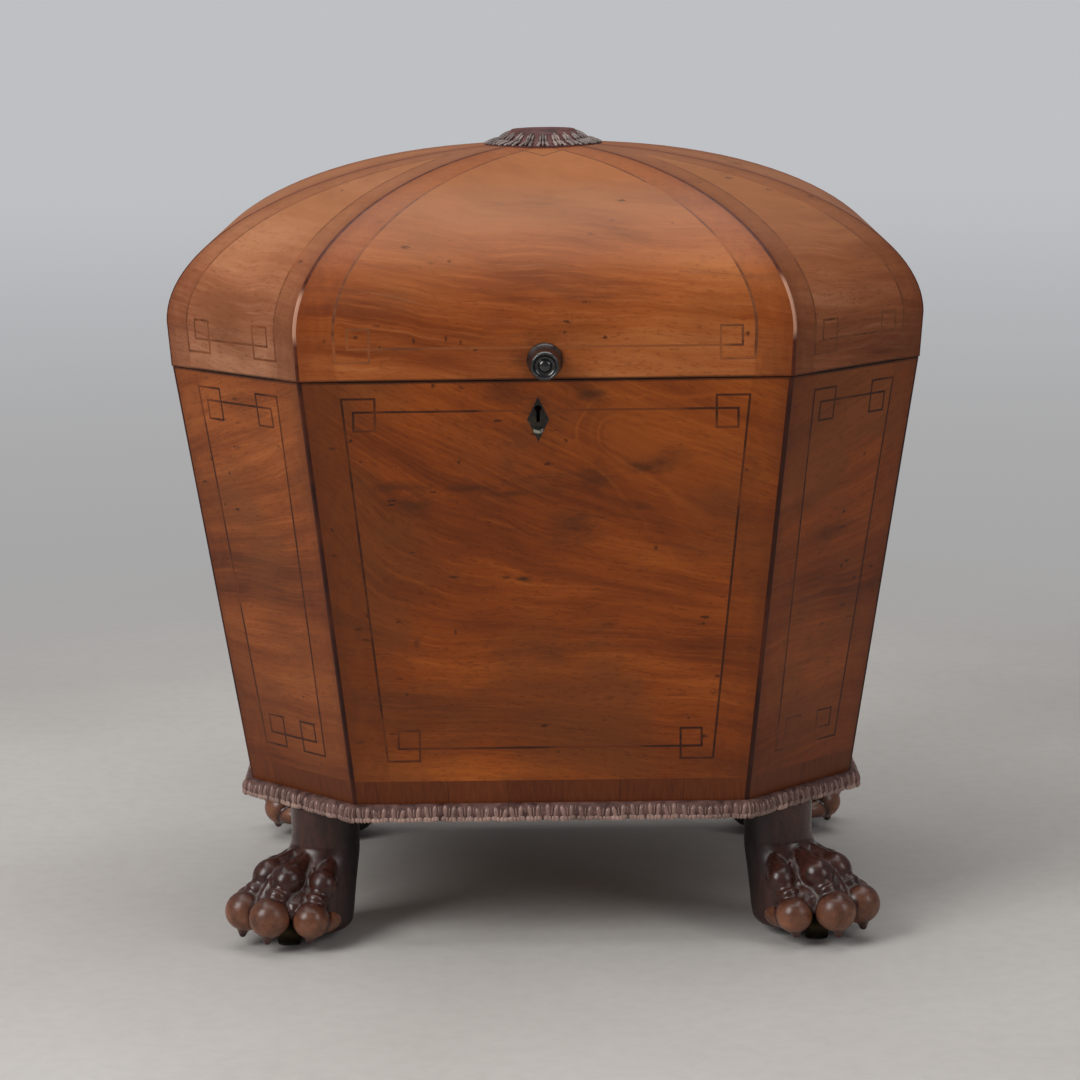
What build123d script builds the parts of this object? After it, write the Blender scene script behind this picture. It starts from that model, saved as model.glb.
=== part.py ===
from build123d import *
import math
import os

os.makedirs("parts", exist_ok=True)

# Case: an irregular octagon that tapers to its foot
half_width = 330.0
half_depth = 268.0
corner_cut = 120.0
foot_half_width = 273.0
case_height = 382.5
case_wall = 16.0
board_thickness = 15.0
foot_height = 120.5

# Inlay and banding of the case
strip_half = 2.2
strip_depth = 2.4
line_width = 2.0
line_depth = 1.2
line_inset = 34.5
corner_line_inset = 31.5
line_from_edge = 14.8
line_above_band = 19.2
key_size = 28.4
key_return = 18.5
key_rail = 11.7
band_height = 21.0
band_depth = 1.2

# Carved base moulding
moulding_reach = 8.0
moulding_shoulder = 2.5
moulding_nose = 6.5
moulding_bend = 1.6
moulding_hollow = 2.4

# Domed lid
seam_gap = 0.8
lid_wall = 15.0
lid_edge_reach = 0.8
lid_belly_reach = 3.2
lid_band_height = 40.0
dome_rise = 144.0
lid_strip_half = 1.6
lid_strip_depth = 2.0
lid_line_inset = 26.0
lid_line_from_edge = 16.0
crown_loop_inset = 53.0
crown_loop_end = 58.0
crown_block_radius = 62.0
crown_block_height = 26.0
peg_radius = 8.0

# Carved boss on the crown
boss_radius = 54.0
boss_top_radius = 28.5
boss_height = 11.5
boss_skirt = 6.0
boss_peg_seat = 5.0
boss_rim_drop = 1.0
boss_petal_bend = (38.9, 2.6)
boss_neck_radius = 33.0
boss_neck_height = 8.5

# Turned knob
knob_above_rim = 17.0
rose_radius = 15.5
rose_height = 3.0
neck_radius = 8.2
bulb_radius = 11.8
bulb_height = 21.0
knob_length = 28.0
knob_lip_radius = 9.0
rose_chamfer = 1.5
neck_sweep = (9.2, 6.0)
neck_top = 10.0
bulb_sweep = (10.8, 15.5)
bulb_shoulder = (10.8, 26.5)
dish_radius = 7.5
dish_depth = 2.0
spigot_radius = 5.0

# Lock, its link plate, keyhole and escutcheon
lock_offset = -6.5
lock_width = 64.0
lock_flange = 8.0
lock_height = 42.0
lock_depth = 12.0
lock_plate = 1.2
lock_screw_drop = 9.0
bolt_clear = 0.3
guide_places = (-16.5, -8.5)
guide_width = 4.5
guide_height = 3.0
finger_length = 8.0
finger_height = 3.4
finger_depth = 2.4
finger_drop = 5.1
riser_width = 3.0
carrier_height = 5.0
carrier_drop = 15.0
staple_pitch = 28.0
staple_thickness = 2.0
staple_width = 5.0
staple_length = 11.0
staple_eye = 4.4
eye_depth = 3.2
staple_gap = 1.0
slot_clear = 0.7
slot_sway = 1.6
link_plate_length = 60.0
link_plate_width = 8.0
link_plate_thickness = 2.0
link_plate_corner = 2.0
link_screw_place = 25.0
keyhole_radius = 3.0
keyhole_slot = 3.0
keyhole_drop = 25.0
keyhole_drop_slot = 12.0
keyhole_length = 6.0
escutcheon_width = 19.0
escutcheon_height = 40.0
escutcheon_drop = 34.5
escutcheon_depth = 1.5

# Butt hinges
hinge_offset = 150.0
hinge_length = 60.0
hinge_knuckles = 5
hinge_gap = 0.3
leaf_thickness = 2.0
leaf_width = 11.5
leaf_screw_place = 6.25
knuckle_radius = 3.4
hinge_pin_radius = 1.6
hinge_stand = 3.2
hinge_relief = 0.4
fit_clear = 0.05

# Wood screws
small_screw_radius = 1.6
small_screw_head = 3.2
small_screw_length = 11.0
small_head_depth = 1.6
screw_slot = 0.8
foot_screw_radius = 2.4
foot_screw_head = 4.8
foot_head_depth = 3.0
foot_screw_length = 46.0
foot_screw_circle = 17.0

# Lead lining and bottle rack
lining = 1.5
lining_below_rim = 48.0
rack_height = 200.0
rack_board = 8.0
rack_gap = 0.5
long_board_place = 52.0
cross_board_place = 104.0

# Lion paw foot, measured outwards from the middle of the corner panel's foot
shank_inset = 28.5
shank_radius = 30.5
heel_half_length = 49.0
heel_half_width = 43.0
heel_inset = 2.0
paw_ground_gap = 8.5

# Paw from the shank down to the sole: height, middle, half length and half width
paw_sections = (
    (foot_height, -shank_inset, shank_radius, shank_radius),
    (96.0, -shank_inset, 30.0, 30.0),
    (76.0, -26.5, 31.5, 30.5),
    (56.0, -15.0, 43.0, 37.0),
    (36.0, -heel_inset, heel_half_length, heel_half_width),
    (20.0, -heel_inset, heel_half_length, heel_half_width),
    (paw_ground_gap, heel_inset, 42.0, 37.0),
)

# Toes, knuckles and tendons, each at both sides of the paw
inner_toe = (58.8, 17.5, 32.0)
outer_toe = (33.7, 43.7, 31.0)
inner_knuckle = (33.0, 14.5, 61.0)
outer_knuckle = (13.0, 36.0, 60.0)
inner_tendon = (-4.0, 9.0, 84.0)
outer_tendon = (-13.0, 22.0, 82.0)
ball_radius = 17.0
outer_ball_radius = 16.0
knuckle_ball_radius = 15.0
tendon_radius = 9.0
toe_waist = 3.0
claw_radius = 5.0
claw_seat = 6.0
claw_tip_radius = 1.4
claw_lean = 3.0

# Castor hidden under each paw
castor_place = 19.0
wheel_radius = 16.0
wheel_width = 20.0
wheel_round = 2.0
hub_radius = 6.0
hub_stand = 0.6
axle_radius = 3.0
axle_head = 1.0
trail = 10.0
horn_plate_back = 12.0
cheek_thickness = 2.6
cheek_gap = 1.2
cheek_end_radius = 7.0
wheel_crown_gap = 2.0
horn_plate = 3.0
horn_plate_gap = 0.3
pintle_radius = 4.0
pintle_length = 20.0
pintle_clear = 0.3
castor_plate_thickness = 2.6
castor_plate_radius = 21.0
castor_screw_circle = 15.0
recess_clear = 3.0

# Cutting wedges and slabs run past the object by this share
beyond = 1.2

# Worked out from the sizes above
base_top = foot_height + board_thickness
rim = base_top + case_height
lid_bottom = rim + seam_gap
belly = lid_bottom + lid_band_height
apex = belly + dome_rise
overall_height = apex + boss_height
foot_size = foot_half_width / half_width
face_names = ["front", "front_right", "right", "back_right", "back", "back_left", "left", "front_left"]
knob_lean = math.atan((lid_belly_reach - lid_edge_reach) / lid_band_height)
knob_seat_reach = half_depth + lid_edge_reach + (knob_above_rim - seam_gap) * math.tan(knob_lean)
front_reach = knob_seat_reach + knob_length * math.cos(knob_lean) + knob_lip_radius * math.sin(knob_lean)
back_reach = half_depth + hinge_stand + knuckle_radius
axis_y = (front_reach - back_reach) / 2


def face_angle(i):
    return 45.0 * i - 90.0


def face_reach(i):
    """Distance from the upright axis to face i at the rim."""
    if i % 4 == 0:
        return half_depth
    if i % 4 == 2:
        return half_width
    return (half_width - corner_cut + half_depth) / math.sqrt(2)


def corner_point(i, size=1.0, out=0.0):
    """Plan of the corner between faces i-1 and i, the octagon scaled by size and grown by out."""
    a = math.radians(face_angle(i - 1))
    b = math.radians(face_angle(i))
    p = face_reach(i - 1) * size + out
    q = face_reach(i) * size + out
    turn = math.sin(b - a)
    return ((p * math.sin(b) - q * math.sin(a)) / turn, (q * math.cos(a) - p * math.cos(b)) / turn)


def octagon(size):
    return [corner_point(i, size) for i in range(8)]


def outward(i):
    a = math.radians(face_angle(i))
    return Vector(math.cos(a), math.sin(a), 0)


def along(i):
    a = math.radians(face_angle(i))
    return Vector(-math.sin(a), math.cos(a), 0)


def span(i, size=1.0):
    """Left and right ends of face i, measured along it from the foot of the axis."""
    return [Vector(*corner_point(j, size)).dot(along(i)) for j in (i, i + 1)]


def face_middle(i, size=1.0):
    """Plan of the middle of face i."""
    left, right = (Vector(*corner_point(j, size)) for j in (i, i + 1))
    return (left + right) * 0.5


def size_at(height, depth=0.0):
    """Scale of the case's octagon at a height, at a depth inside its faces."""
    return 1 - (rim - height) / case_height * (1 - foot_size) - depth / half_depth


def level(height):
    return Plane(origin=(0, axis_y, height))


def upright(i):
    """Plane through the axis, x outwards across face i and y up."""
    return Plane(origin=(0, axis_y, 0), x_dir=outward(i), z_dir=-along(i))


def face_plane(i, depth=0.0):
    """Plane of the sloping case face i, origin at the middle of its rim, y up the slope."""
    middle = face_middle(i, size_at(rim, depth))
    slope = math.atan(face_reach(i) * (1 - foot_size) / case_height)
    normal = outward(i) * math.cos(slope) - Vector(0, 0, math.sin(slope))
    return Plane(origin=(middle.X, middle.Y + axis_y, rim), x_dir=along(i), z_dir=normal)


def stave(i, section, plan=None):
    """One mitred length: a section of the upright plane, run along face i and cut to its mitres."""
    if plan is None:
        plan = [(0, 0), corner_point(i, beyond), corner_point(i + 1, beyond)]
    with BuildPart() as piece:
        extrude(section, amount=half_width, both=True)
        with BuildSketch(level(0)):
            Polygon(*plan, align=None)
        extrude(amount=overall_height, mode=Mode.INTERSECT)
    return piece.part


def case_section(i, outer, inner, low, high):
    points = [
        (face_reach(i) * size_at(low, outer), low),
        (face_reach(i) * size_at(high, outer), high),
        (face_reach(i) * size_at(high, inner), high),
        (face_reach(i) * size_at(low, inner), low),
    ]
    with BuildSketch(upright(i)) as section:
        Polygon(*points, align=None)
    return section.sketch


def case_skin(i, depth, low=base_top, high=rim):
    return stave(i, case_section(i, 0, depth, low, high))


def lid_section(i, outer, inner):
    reach = face_reach(i)
    outer_edge = reach * (1 + (lid_edge_reach - outer) / half_depth)
    inner_edge = reach * (1 + (lid_edge_reach - inner) / half_depth)
    outer_belly = reach * (1 + (lid_belly_reach - outer) / half_depth)
    inner_belly = reach * (1 + (lid_belly_reach - inner) / half_depth)
    with BuildSketch(upright(i)) as section:
        with BuildLine():
            Line((outer_edge, lid_bottom), (outer_belly, belly))
            EllipticalCenterArc((0, belly), outer_belly, dome_rise - outer, 0, arc_size=90)
            Line((0, apex - outer), (0, apex - inner))
            EllipticalCenterArc((0, belly), inner_belly, dome_rise - inner, 0, arc_size=90)
            Polyline((inner_belly, belly), (inner_edge, lid_bottom), (outer_edge, lid_bottom))
        make_face()
    return section.sketch


def lid_skin(i, depth):
    return stave(i, lid_section(i, 0, depth))


def vault(i, depth):
    """Everything under the dome's surface at a depth, down to the belly, as one wedge."""
    reach = face_reach(i) * (1 + (lid_belly_reach - depth) / half_depth)
    with BuildSketch(upright(i)) as section:
        with BuildLine():
            EllipticalCenterArc((0, belly), reach, dome_rise - depth, 0, arc_size=90)
            Polyline((0, apex - depth), (0, belly), (reach, belly))
        make_face()
    return stave(i, section.sketch)


def corner_slab(i, half):
    """Upright slab along the arris between faces i-1 and i."""
    corner = Vector(*corner_point(i))
    plane = Plane(origin=(0, axis_y, 0), x_dir=corner.normalized(), z_dir=(0, 0, 1))
    with BuildPart() as slab:
        with BuildSketch(plane):
            Rectangle(corner.length * beyond, 2 * half, align=(Align.MIN, Align.CENTER))
        extrude(amount=overall_height)
    return slab.part


def corner_strip(i, skins, half):
    """Strip along the arris between faces i-1 and i, bent round it."""
    with BuildPart() as strip:
        add(skins[i - 1])
        add(skins[i])
        add(corner_slab(i, half), mode=Mode.INTERSECT)
    return strip.part


def strokes(route, width):
    """Straight strokes of one width along a route, drawn in the open sketch."""
    for start, end in zip(route, route[1:]):
        run = Vector(*end) - Vector(*start)
        middle = (Vector(*start) + Vector(*end)) * 0.5
        turn = math.degrees(math.atan2(run.Y, run.X))
        with Locations(Location((middle.X, middle.Y, 0), (0, 0, turn))):
            Rectangle(run.length + width, width)


def cylinder_at(plane, radius, length):
    with BuildPart() as rod:
        with BuildSketch(plane):
            Circle(radius)
        extrude(amount=length)
    return rod.part


def screw(plane, radius, head, head_depth, length):
    """Countersunk wood screw, head flush with the plane, pointing against the plane's normal."""
    with BuildPart() as body:
        with BuildSketch(plane):
            Circle(head)
        with BuildSketch(plane.offset(-head_depth)):
            Circle(radius)
        loft()
        with BuildSketch(plane.offset(-head_depth)):
            Circle(radius)
        extrude(amount=head_depth + radius - length)
        with BuildSketch(plane.offset(radius - length)):
            Circle(radius)
        with BuildSketch(plane.offset(-length)):
            Circle(radius / 4)
        loft()
    return body.part


def small_screw(plane):
    return screw(plane, small_screw_radius, small_screw_head, small_head_depth, small_screw_length)


def slotted(body, plane, head):
    """The driver's slot, cut only in the screw and not in the wood that holds it."""
    with BuildPart() as turned:
        add(body)
        with BuildSketch(plane):
            Rectangle(3 * head, screw_slot)
        extrude(amount=-screw_slot, mode=Mode.SUBTRACT)
    return turned.part


def joined(pieces):
    """Separate solids of one kind, kept in one node."""
    return Compound(children=list(pieces))


def finish(shape, label):
    shape.label = label
    export_step(shape, f"parts/{label}.step")


def less(body, cuts):
    with BuildPart() as rest:
        add(body)
        for cut in cuts:
            add(cut, mode=Mode.SUBTRACT)
    return rest.part


def case_line_route(i):
    """Looped line of a case panel, in its face plane, clockwise from the top left loop."""
    slope_length = math.hypot(case_height, face_reach(i) * (1 - foot_size))
    middle = face_middle(i).dot(along(i))
    inset = line_inset if i % 2 == 0 else corner_line_inset
    top = line_from_edge
    low = slope_length - band_height - line_above_band
    loops = []
    for side, edge, inwards in ((0, top, 1), (1, top, 1), (1, low, -1), (0, low, -1)):
        end = span(i)[side]
        end_below = span(i, foot_size)[side]
        turn = 1 - 2 * side
        outer = end + (end_below - end) * edge / slope_length - middle + turn * inset
        across = outer + turn * key_size
        back = outer + turn * (key_size - key_return)
        deep = edge + inwards * key_size
        rail = edge + inwards * key_rail
        loops.append([(outer, -edge), (across, -edge), (across, -deep), (back, -deep), (back, -rail)])
    upper_left, upper_right, lower_right, lower_left = loops
    return upper_left + upper_right[::-1] + lower_right + lower_left[::-1] + upper_left[:1]


def case_line(i):
    with BuildPart() as line:
        with BuildSketch(face_plane(i)):
            strokes(case_line_route(i), line_width)
        extrude(amount=-line_depth)
    return line.part


def lid_line(i, skin):
    """Looped line of a lid panel: keys and rail by the rim, two rising lines, a point at the crown."""
    left, right = span(i)
    reach = face_reach(i)
    left_length = math.hypot(left, reach)
    right_length = math.hypot(right, reach)
    edge = 1 + lid_edge_reach / half_depth

    def from_left(out, inset):
        return out * left / reach + inset * left_length / reach

    def from_right(out, inset):
        return out * right / reach - inset * right_length / reach

    def meet(inset):
        return inset * (left_length + right_length) / (right - left)

    crossing = meet(lid_line_inset)
    start = reach * beyond
    rising = [
        (from_left(start, lid_line_inset), start),
        (from_left(crossing, lid_line_inset), crossing),
        (from_right(start, lid_line_inset), start),
    ]
    far = key_size - key_return
    low = lid_bottom + lid_line_from_edge
    deep = low + key_size
    rail = low + key_rail
    outer_left = from_left(reach * edge, lid_line_inset)
    outer_right = from_right(reach * edge, lid_line_inset)
    keys = [
        (outer_left, low),
        (outer_left + key_size, low),
        (outer_left + key_size, deep),
        (outer_left + far, deep),
        (outer_left + far, rail),
        (outer_right - far, rail),
        (outer_right - far, deep),
        (outer_right - key_size, deep),
        (outer_right - key_size, low),
        (outer_right, low),
    ]
    before = Vector(0, axis_y, 0) + outward(i) * start
    line_reach = start - reach / beyond
    front_plane = Plane(origin=before, x_dir=along(i), z_dir=outward(i))
    plan_plane = Plane(origin=(0, axis_y, low - line_width / 2), x_dir=along(i), z_dir=(0, 0, 1))
    with BuildPart() as line:
        with BuildSketch(front_plane):
            strokes(keys, line_width)
        extrude(amount=-line_reach)
        with BuildSketch(plan_plane):
            strokes([(x, -y) for x, y in rising], line_width)
            if i % 4 == 0:
                point = meet(crown_loop_inset)
                loop = [
                    (from_right(crown_loop_end, crown_loop_inset), -crown_loop_end),
                    (from_left(point, crown_loop_inset), -point),
                    (from_left(crown_loop_end, crown_loop_inset), -crown_loop_end),
                ]
                strokes(loop, line_width)
        extrude(amount=overall_height)
        add(skin, mode=Mode.INTERSECT)
    return line.part


def around(first, second, third):
    """All eight faces' pieces from those of faces 0, 1 and 2, by mirroring across both middles."""
    across = Plane.YZ
    fore_and_aft = Plane(origin=(0, axis_y, 0), z_dir=(0, 1, 0))
    rear = [piece.mirror(fore_and_aft) for piece in (first, second)]
    return [
        first, second, third, rear[1], rear[0],
        rear[1].mirror(across), third.mirror(across), second.mirror(across),
    ]


def around_corners(first, second):
    """All eight corners' pieces from those of corners 1 and 2, by mirroring across both middles."""
    across = Plane.YZ
    fore_and_aft = Plane(origin=(0, axis_y, 0), z_dir=(0, 1, 0))
    right = [first, second, second.mirror(fore_and_aft), first.mirror(fore_and_aft)]
    left = [piece.mirror(across) for piece in right]
    return [left[0]] + right + [left[3], left[2], left[1]]


def make_shell(lozenge):
    """Case panels, banding, corner strips and line inlay, which stops at the escutcheon."""
    skins = [case_skin(i, strip_depth) for i in range(3)]
    strips = around_corners(corner_strip(1, skins, strip_half), corner_strip(2, skins, strip_half))
    kinds = []
    for i in range(3):
        edges = (strips[i], strips[i + 1])
        band = less(case_skin(i, band_depth, base_top, base_top + band_height), edges)
        line = case_line(i)
        board = stave(i, case_section(i, 0, case_wall, base_top, rim))
        kinds.append((less(board, edges + (band, line)), band, line))
    panels, bands, lines = (around(*pieces) for pieces in zip(*kinds))
    lines[0] = less(lines[0], [lozenge])
    finish(joined(strips), "case_corner_strips")
    finish(joined(bands), "case_crossbanding")
    finish(joined(lines), "case_line_inlay")
    return panels


def make_moulding():
    """Moulding round the edge of the bottom board, mitred at the eight corners."""
    lengths = []
    for i in range(3):
        edge = face_reach(i) * foot_size
        shoulder = (edge + moulding_shoulder, base_top)
        nose = (edge + moulding_reach, base_top - moulding_nose)
        bend = (nose[0] - moulding_bend, base_top - moulding_hollow)
        under = (edge + moulding_shoulder, foot_height)
        with BuildSketch(upright(i)) as section:
            with BuildLine():
                Polyline(under, (edge, foot_height), (edge, base_top), shoulder)
                ThreePointArc(shoulder, bend, nose)
                ThreePointArc(nose, (nose[0] - moulding_bend, foot_height + moulding_bend), under)
            make_face()
        plan = [
            corner_point(i, foot_size, -moulding_reach),
            corner_point(i + 1, foot_size, -moulding_reach),
            corner_point(i + 1, foot_size, 2 * moulding_reach),
            corner_point(i, foot_size, 2 * moulding_reach),
        ]
        lengths.append(stave(i, section.sketch, plan))
    finish(joined(around(*lengths)), "base_moulding")


def foot_plane(i, height):
    """Level plane under corner panel i, origin below the middle of its foot, x outwards."""
    middle = face_middle(i, foot_size)
    return Plane(origin=(middle.X, middle.Y + axis_y, height), x_dir=outward(i), z_dir=(0, 0, 1))


def ring(count, circle, start, centre=(0, 0)):
    """Points evenly spaced round a circle."""
    turns = [math.radians(start + 360 * k / count) for k in range(count)]
    return [(centre[0] + circle * math.cos(t), centre[1] + circle * math.sin(t)) for t in turns]


def foot_screw_planes():
    """Three screws down through the bottom board into the shank, in a foot's own frame."""
    return [
        Plane(origin=(x, y, base_top), z_dir=(0, 0, 1))
        for x, y in ring(3, foot_screw_circle, 60, (-shank_inset, 0))
    ]


def castor_screw_planes():
    """Three screws up through the castor plate into the paw, in a foot's own frame."""
    return [
        Plane(origin=(x, y, plate_level()), z_dir=(0, 0, -1))
        for x, y in ring(3, castor_screw_circle, 0, (castor_place, 0))
    ]


def placed(piece, i):
    """Piece of a foot's own frame, moved to the corner panel i."""
    return piece.moved(foot_plane(i, 0).location)


def limb(start, start_radius, end, end_radius):
    """Round tapering link between two points, rounded off at its end."""
    low = Vector(*start)
    high = Vector(*end)
    run = high - low
    with BuildPart() as link:
        with BuildSketch(Plane(origin=low, z_dir=run)):
            Circle(start_radius)
        with BuildSketch(Plane(origin=high, z_dir=run)):
            Circle(end_radius)
        loft()
        with Locations(Location(high)):
            Sphere(end_radius)
    return link.part


def claw(place):
    """Short pointed claw under a toe, its tip just off the floor."""
    with BuildPart() as point:
        with BuildSketch(Plane.XY.offset(place[2] - ball_radius + claw_seat)):
            with Locations((place[0], place[1])):
                Circle(claw_radius)
        with BuildSketch(Plane.XY.offset(paw_ground_gap)):
            with Locations((place[0] + claw_lean, place[1])):
                Circle(claw_tip_radius)
        loft()
    return point.part


def castor_recess():
    """Round hollow under the paw that lets the castor swing right round, with its pintle hole."""
    half = wheel_width / 2 + cheek_gap + cheek_thickness
    swing = math.hypot(trail + wheel_radius, wheel_width / 2)
    swing = max(swing, math.hypot(trail + cheek_end_radius, half)) + recess_clear
    ceiling = plate_level() + castor_plate_thickness
    ground = Plane(origin=(castor_place, 0, 0))
    with BuildPart() as hollow:
        with BuildSketch(ground):
            Circle(swing)
        extrude(amount=ceiling)
        with BuildSketch(ground.offset(ceiling)):
            Circle(pintle_radius + pintle_clear)
        extrude(amount=pintle_length)
    return hollow.part


def plate_level():
    """Height of the castor plate's underside."""
    return 2 * wheel_radius + wheel_crown_gap + horn_plate + horn_plate_gap


def make_foot(screws):
    """One carved paw in its own frame, pointing along x."""
    with BuildPart() as paw:
        for height, place, half_length, half_across in paw_sections:
            with BuildSketch(Plane.XY.offset(height)):
                with Locations((place, 0)):
                    Ellipse(half_length, half_across)
        loft()
        for side in (-1, 1):
            for toe, knuckle, tendon, ball in (
                (inner_toe, inner_knuckle, inner_tendon, ball_radius),
                (outer_toe, outer_knuckle, outer_tendon, outer_ball_radius),
            ):
                tip = (toe[0], side * toe[1], toe[2])
                joint = (knuckle[0], side * knuckle[1], knuckle[2])
                root = (tendon[0], side * tendon[1], tendon[2])
                add(limb(root, tendon_radius, joint, knuckle_ball_radius))
                add(limb(joint, knuckle_ball_radius - toe_waist, tip, ball))
                add(claw(tip))
        add(castor_recess(), mode=Mode.SUBTRACT)
        for cut in screws:
            add(cut, mode=Mode.SUBTRACT)
    return paw.part


def castor_pivot(i):
    pivot = foot_plane(i, 0).from_local_coords(Vector(castor_place, 0))
    return Plane(origin=pivot, x_dir=(1, 0, 0), z_dir=(0, 0, 1))


def make_wheel():
    """Wheel on its axle line, which lies across the object and trails to the front of its pivot."""
    across = Plane(origin=(0, -trail, wheel_radius), x_dir=(0, 1, 0), z_dir=(1, 0, 0))
    with BuildPart() as wheel:
        with BuildSketch(across):
            Circle(wheel_radius)
        extrude(amount=wheel_width / 2, both=True)
        fillet(wheel.edges().filter_by(GeomType.CIRCLE), wheel_round)
        with BuildSketch(across):
            Circle(hub_radius)
        extrude(amount=wheel_width / 2 + hub_stand, both=True)
        with BuildSketch(across):
            Circle(axle_radius + fit_clear)
        extrude(amount=wheel_width, both=True, mode=Mode.SUBTRACT)
    return wheel.part


def make_horn():
    """Forked horn: two cheeks under a plate, the riveted axle and the pintle it swivels on."""
    across = Plane(origin=(0, -trail, wheel_radius), x_dir=(0, 1, 0), z_dir=(1, 0, 0))
    inner = wheel_width / 2 + cheek_gap
    half = inner + cheek_thickness
    plate_low = 2 * wheel_radius + wheel_crown_gap
    front = -trail - cheek_end_radius / 2
    with BuildPart() as horn:
        for side in (inner, -half):
            with BuildSketch(across.offset(side)):
                with BuildLine():
                    CenterArc((0, 0), cheek_end_radius, 0, 360)
                    Line((0, plate_low - wheel_radius), (trail + pintle_radius, plate_low - wheel_radius))
                make_hull()
            extrude(amount=cheek_thickness)
        with BuildSketch(Plane.XY.offset(plate_low)):
            with Locations((0, (front + horn_plate_back) / 2)):
                RectangleRounded(2 * half, horn_plate_back - front, cheek_thickness)
        extrude(amount=horn_plate)
        with BuildSketch(across):
            Circle(axle_radius)
        extrude(amount=half + axle_head, both=True)
        with BuildSketch(Plane.XY.offset(plate_low + horn_plate)):
            Circle(pintle_radius)
        extrude(amount=horn_plate_gap + castor_plate_thickness + pintle_length - recess_clear)
    return horn.part


def make_castor_plate(screws):
    with BuildPart() as plate:
        with BuildSketch(Plane(origin=(castor_place, 0, plate_level()))):
            Circle(castor_plate_radius)
            Circle(pintle_radius + fit_clear, mode=Mode.SUBTRACT)
        extrude(amount=castor_plate_thickness)
        for cut in screws:
            add(cut, mode=Mode.SUBTRACT)
    return plate.part


def make_feet_and_castors():
    """Feet, castors, bottom board and the screws that hold them; the four corners are alike."""
    corners = (1, 3, 5, 7)
    upper = [screw(p, foot_screw_radius, foot_screw_head, foot_head_depth, foot_screw_length)
             for p in foot_screw_planes()]
    lower = [small_screw(p) for p in castor_screw_planes()]
    upper_turned = [slotted(s, p, foot_screw_head) for s, p in zip(upper, foot_screw_planes())]
    lower_turned = [slotted(s, p, small_screw_head) for s, p in zip(lower, castor_screw_planes())]
    paw = make_foot(upper + lower)
    plate = make_castor_plate(lower)
    wheel = make_wheel()
    horn = make_horn()
    for i in corners:
        pivot = Location(castor_pivot(i).origin)
        finish(placed(paw, i), f"paw_foot_{face_names[i]}")
        finish(wheel.moved(pivot), f"castor_wheel_{face_names[i]}")
        finish(horn.moved(pivot), f"castor_horn_{face_names[i]}")
    finish(joined(placed(plate, i) for i in corners), "castor_plates")
    finish(joined(placed(s, i) for i in corners for s in lower_turned), "castor_screws")
    finish(joined(placed(s, i) for i in corners for s in upper_turned), "foot_screws")
    with BuildPart() as board:
        with BuildSketch(level(foot_height)):
            Polygon(*octagon(foot_size), align=None)
        extrude(amount=board_thickness)
        for i in corners:
            for cut in upper:
                add(placed(cut, i), mode=Mode.SUBTRACT)
    finish(board.part, "bottom_board")


def make_lining_and_rack():
    """Lead lining against the inside of the panels, and the halved boards of the bottle rack."""
    top = rim - lining_below_rim
    with BuildPart() as tub:
        for i in range(8):
            add(stave(i, case_section(i, case_wall, case_wall + lining, base_top, top)))
        with BuildSketch(level(base_top)):
            Polygon(*octagon(size_at(base_top, case_wall)), align=None)
        extrude(amount=lining)
    finish(tub.part, "lead_lining")

    floor = base_top + lining
    shelf = floor + rack_height
    half_notch = rack_height / 2

    def board(axis, place, reach, others, notch_low):
        """One rack board, trapezoid ends against the sloping lining, notched for the others."""
        low = reach * size_at(floor, case_wall + lining) - rack_gap
        high = reach * size_at(shelf, case_wall + lining) - rack_gap
        if axis == "x":
            plane = Plane(origin=(0, axis_y + place, 0), x_dir=(1, 0, 0), z_dir=(0, -1, 0))
        else:
            plane = Plane(origin=(place, axis_y, 0), x_dir=(0, 1, 0), z_dir=(1, 0, 0))
        with BuildPart() as made:
            with BuildSketch(plane):
                Polygon((-low, floor), (low, floor), (high, shelf), (-high, shelf), align=None)
                with Locations([(other, notch_low) for other in others]):
                    Rectangle(
                        rack_board, half_notch, align=(Align.CENTER, Align.MIN), mode=Mode.SUBTRACT
                    )
            extrude(amount=rack_board / 2, both=True)
        return made.part

    crosses = (-cross_board_place, 0, cross_board_place)
    longs = (-long_board_place, long_board_place)
    for place, name in zip(longs, ("front", "back")):
        finish(board("x", place, half_width, crosses, floor + half_notch), f"rack_long_board_{name}")
    for place, name in zip(crosses, ("left", "middle", "right")):
        finish(board("y", place, half_depth, longs, floor), f"rack_cross_board_{name}")


def lock_plane(normal=0.0, drop=0.0):
    """Plane on the inside of the front panel at the rim, behind the keyhole, facing outwards."""
    inside = face_plane(0, case_wall)
    shift = inside.x_dir * lock_offset + inside.z_dir * normal - inside.y_dir * drop
    return Plane(origin=inside.origin + shift, x_dir=inside.x_dir, z_dir=inside.z_dir)


def block(normal, thickness, left, right, drop, height):
    """Box in the lock's frame: how far out it starts, its sides, its top and its height."""
    with BuildPart() as made:
        with BuildSketch(lock_plane(normal)):
            with Locations(((left + right) / 2, -drop - height / 2)):
                Rectangle(right - left, height)
        extrude(amount=thickness)
    return made.part


def staple_places():
    return (-staple_pitch / 2, staple_pitch / 2)


def staple_middle():
    """How far out from the inside of the front panel the staples stand."""
    return lock_depth / 2


def keyhole(plane):
    with BuildPart() as hole:
        with BuildSketch(plane):
            Circle(keyhole_radius)
            with Locations((0, -keyhole_drop_slot / 2)):
                Rectangle(keyhole_slot, keyhole_drop_slot)
        extrude(amount=-keyhole_length)
    return hole.part


def keyhole_plane():
    front = face_plane(0)
    origin = front.origin + front.x_dir * lock_offset - front.y_dir * keyhole_drop
    return Plane(origin=origin, x_dir=front.x_dir, z_dir=front.z_dir)


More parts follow.
